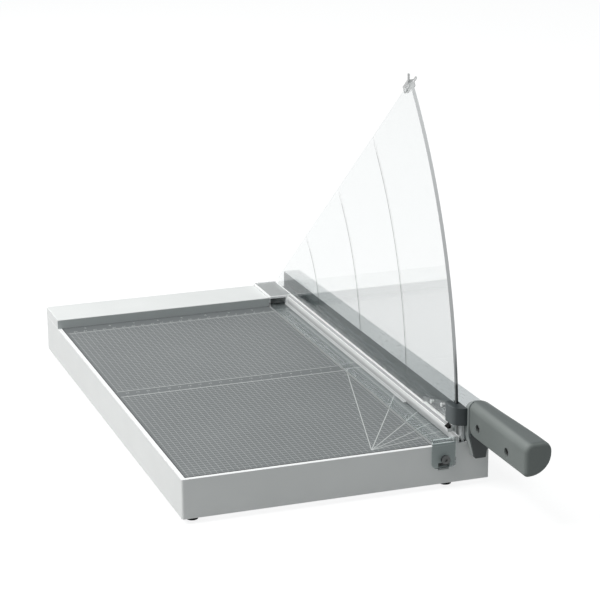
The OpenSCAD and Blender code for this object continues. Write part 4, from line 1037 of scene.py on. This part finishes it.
guard_tint = tone(237, 239, 239)
guard_plastic = clear("guard_plastic", guard_tint, 0.0)
tree = guard_plastic.node_tree
shader = surface(guard_plastic)
place = axes_of(tree)
hinge = spot(0, pivot_y, pivot_z)
back_off = calc(tree, "SUBTRACT", place["Y"], hinge.y)
up_off = calc(tree, "SUBTRACT", place["Z"], hinge.z)
away = calc(tree, "SQRT", calc(tree, "ADD", calc(tree, "MULTIPLY", back_off, back_off),
                               calc(tree, "MULTIPLY", up_off, up_off)))
etched = any_of(tree, *(near_zero(tree, calc(tree, "SUBTRACT", away, guard_reach * share * MM),
                                  etch_width) for share in etched_shares))
tree.links.new(between(tree, etched, guard_tint, tone(150, 152, 152)), shader.inputs["Base Color"])
tree.links.new(calc(tree, "MULTIPLY", etched, etch_roughness), shader.inputs["Roughness"])

edge_tint = tone(228, 230, 230)
edge_plastic, tree, output = new_material("guard_edge")
shader = principled(tree, output, edge_tint, 0.5)
# The frosted curved edge is painted nearly black between about 55 and 85 mm up, by the guide block, and
# grey on its right half below about 100 mm: painted shade.
right_side = step_at(tree, "X", 249.9, 250.9)
low_down = calc(tree, "SUBTRACT", 1, step_at(tree, "Z", 83, 87))
over_guide = step_at(tree, "Z", 53, 57)
dark_shade_band = all_of(tree, low_down, over_guide, calc(tree, "MAXIMUM", right_side, 0.5))
high_up = step_at(tree, "Z", 96, 122)
grey_shade_band = all_of(tree, right_side, calc(tree, "SUBTRACT", 1, high_up))
shade_greyed = between(tree, grey_shade_band, edge_tint, tone(140, 143, 143))
shade_darkened = between(tree, dark_shade_band, shade_greyed, tone(36, 40, 41))
tree.links.new(shade_darkened, shader.inputs["Base Color"])
bump(tree, shader, grain(tree, 900, 2, (1, 1, 0.2)), 0.00002)
straight_edge = clear("straight_edge", tone(250, 252, 252), 0.0, 1.0)
guard = eased("finger_guard", "guard_plate", 0.12)
dressed(guard, guard_plastic, "clamp", "clear_plastic", "finger_guard")


def sawn(face, curved):
    """Whether a face is the guard's curved edge, or else one of its straight ones."""
    outward = (face.center - hinge) * Vector((0, 1, 1))
    on_arc = outward.length > 0.995 * guard_reach * MM
    return abs(face.normal.x) < 0.5 and on_arc == curved


partly(guard, edge_plastic, lambda face: sawn(face, True))
partly(guard, straight_edge, lambda face: sawn(face, False))

dressed(eased("guard_bracket", "guard_cheek", 0.3), faint("cheek_plastic", tone(226, 228, 228), 0.14),
        "clamp", "clear_plastic", "guard_bracket")
moulded("cheek_foot", white_plastic, None, 0.3, (246.4, 249.2, 22, 74, 47.5, 48.9))
clip_plastic = faint("clip_plastic", tone(228, 230, 230), 0.16)
clip = eased("guard_stop_clip", "tip_clip", 0.3)
dressed(clip, clip_plastic, "clamp", "clear_plastic", "guard_stop_clip")
partly(clip, faint("clip_rim", tone(180, 183, 183), 0.6), lambda face: abs(face.normal.x) < 0.8)
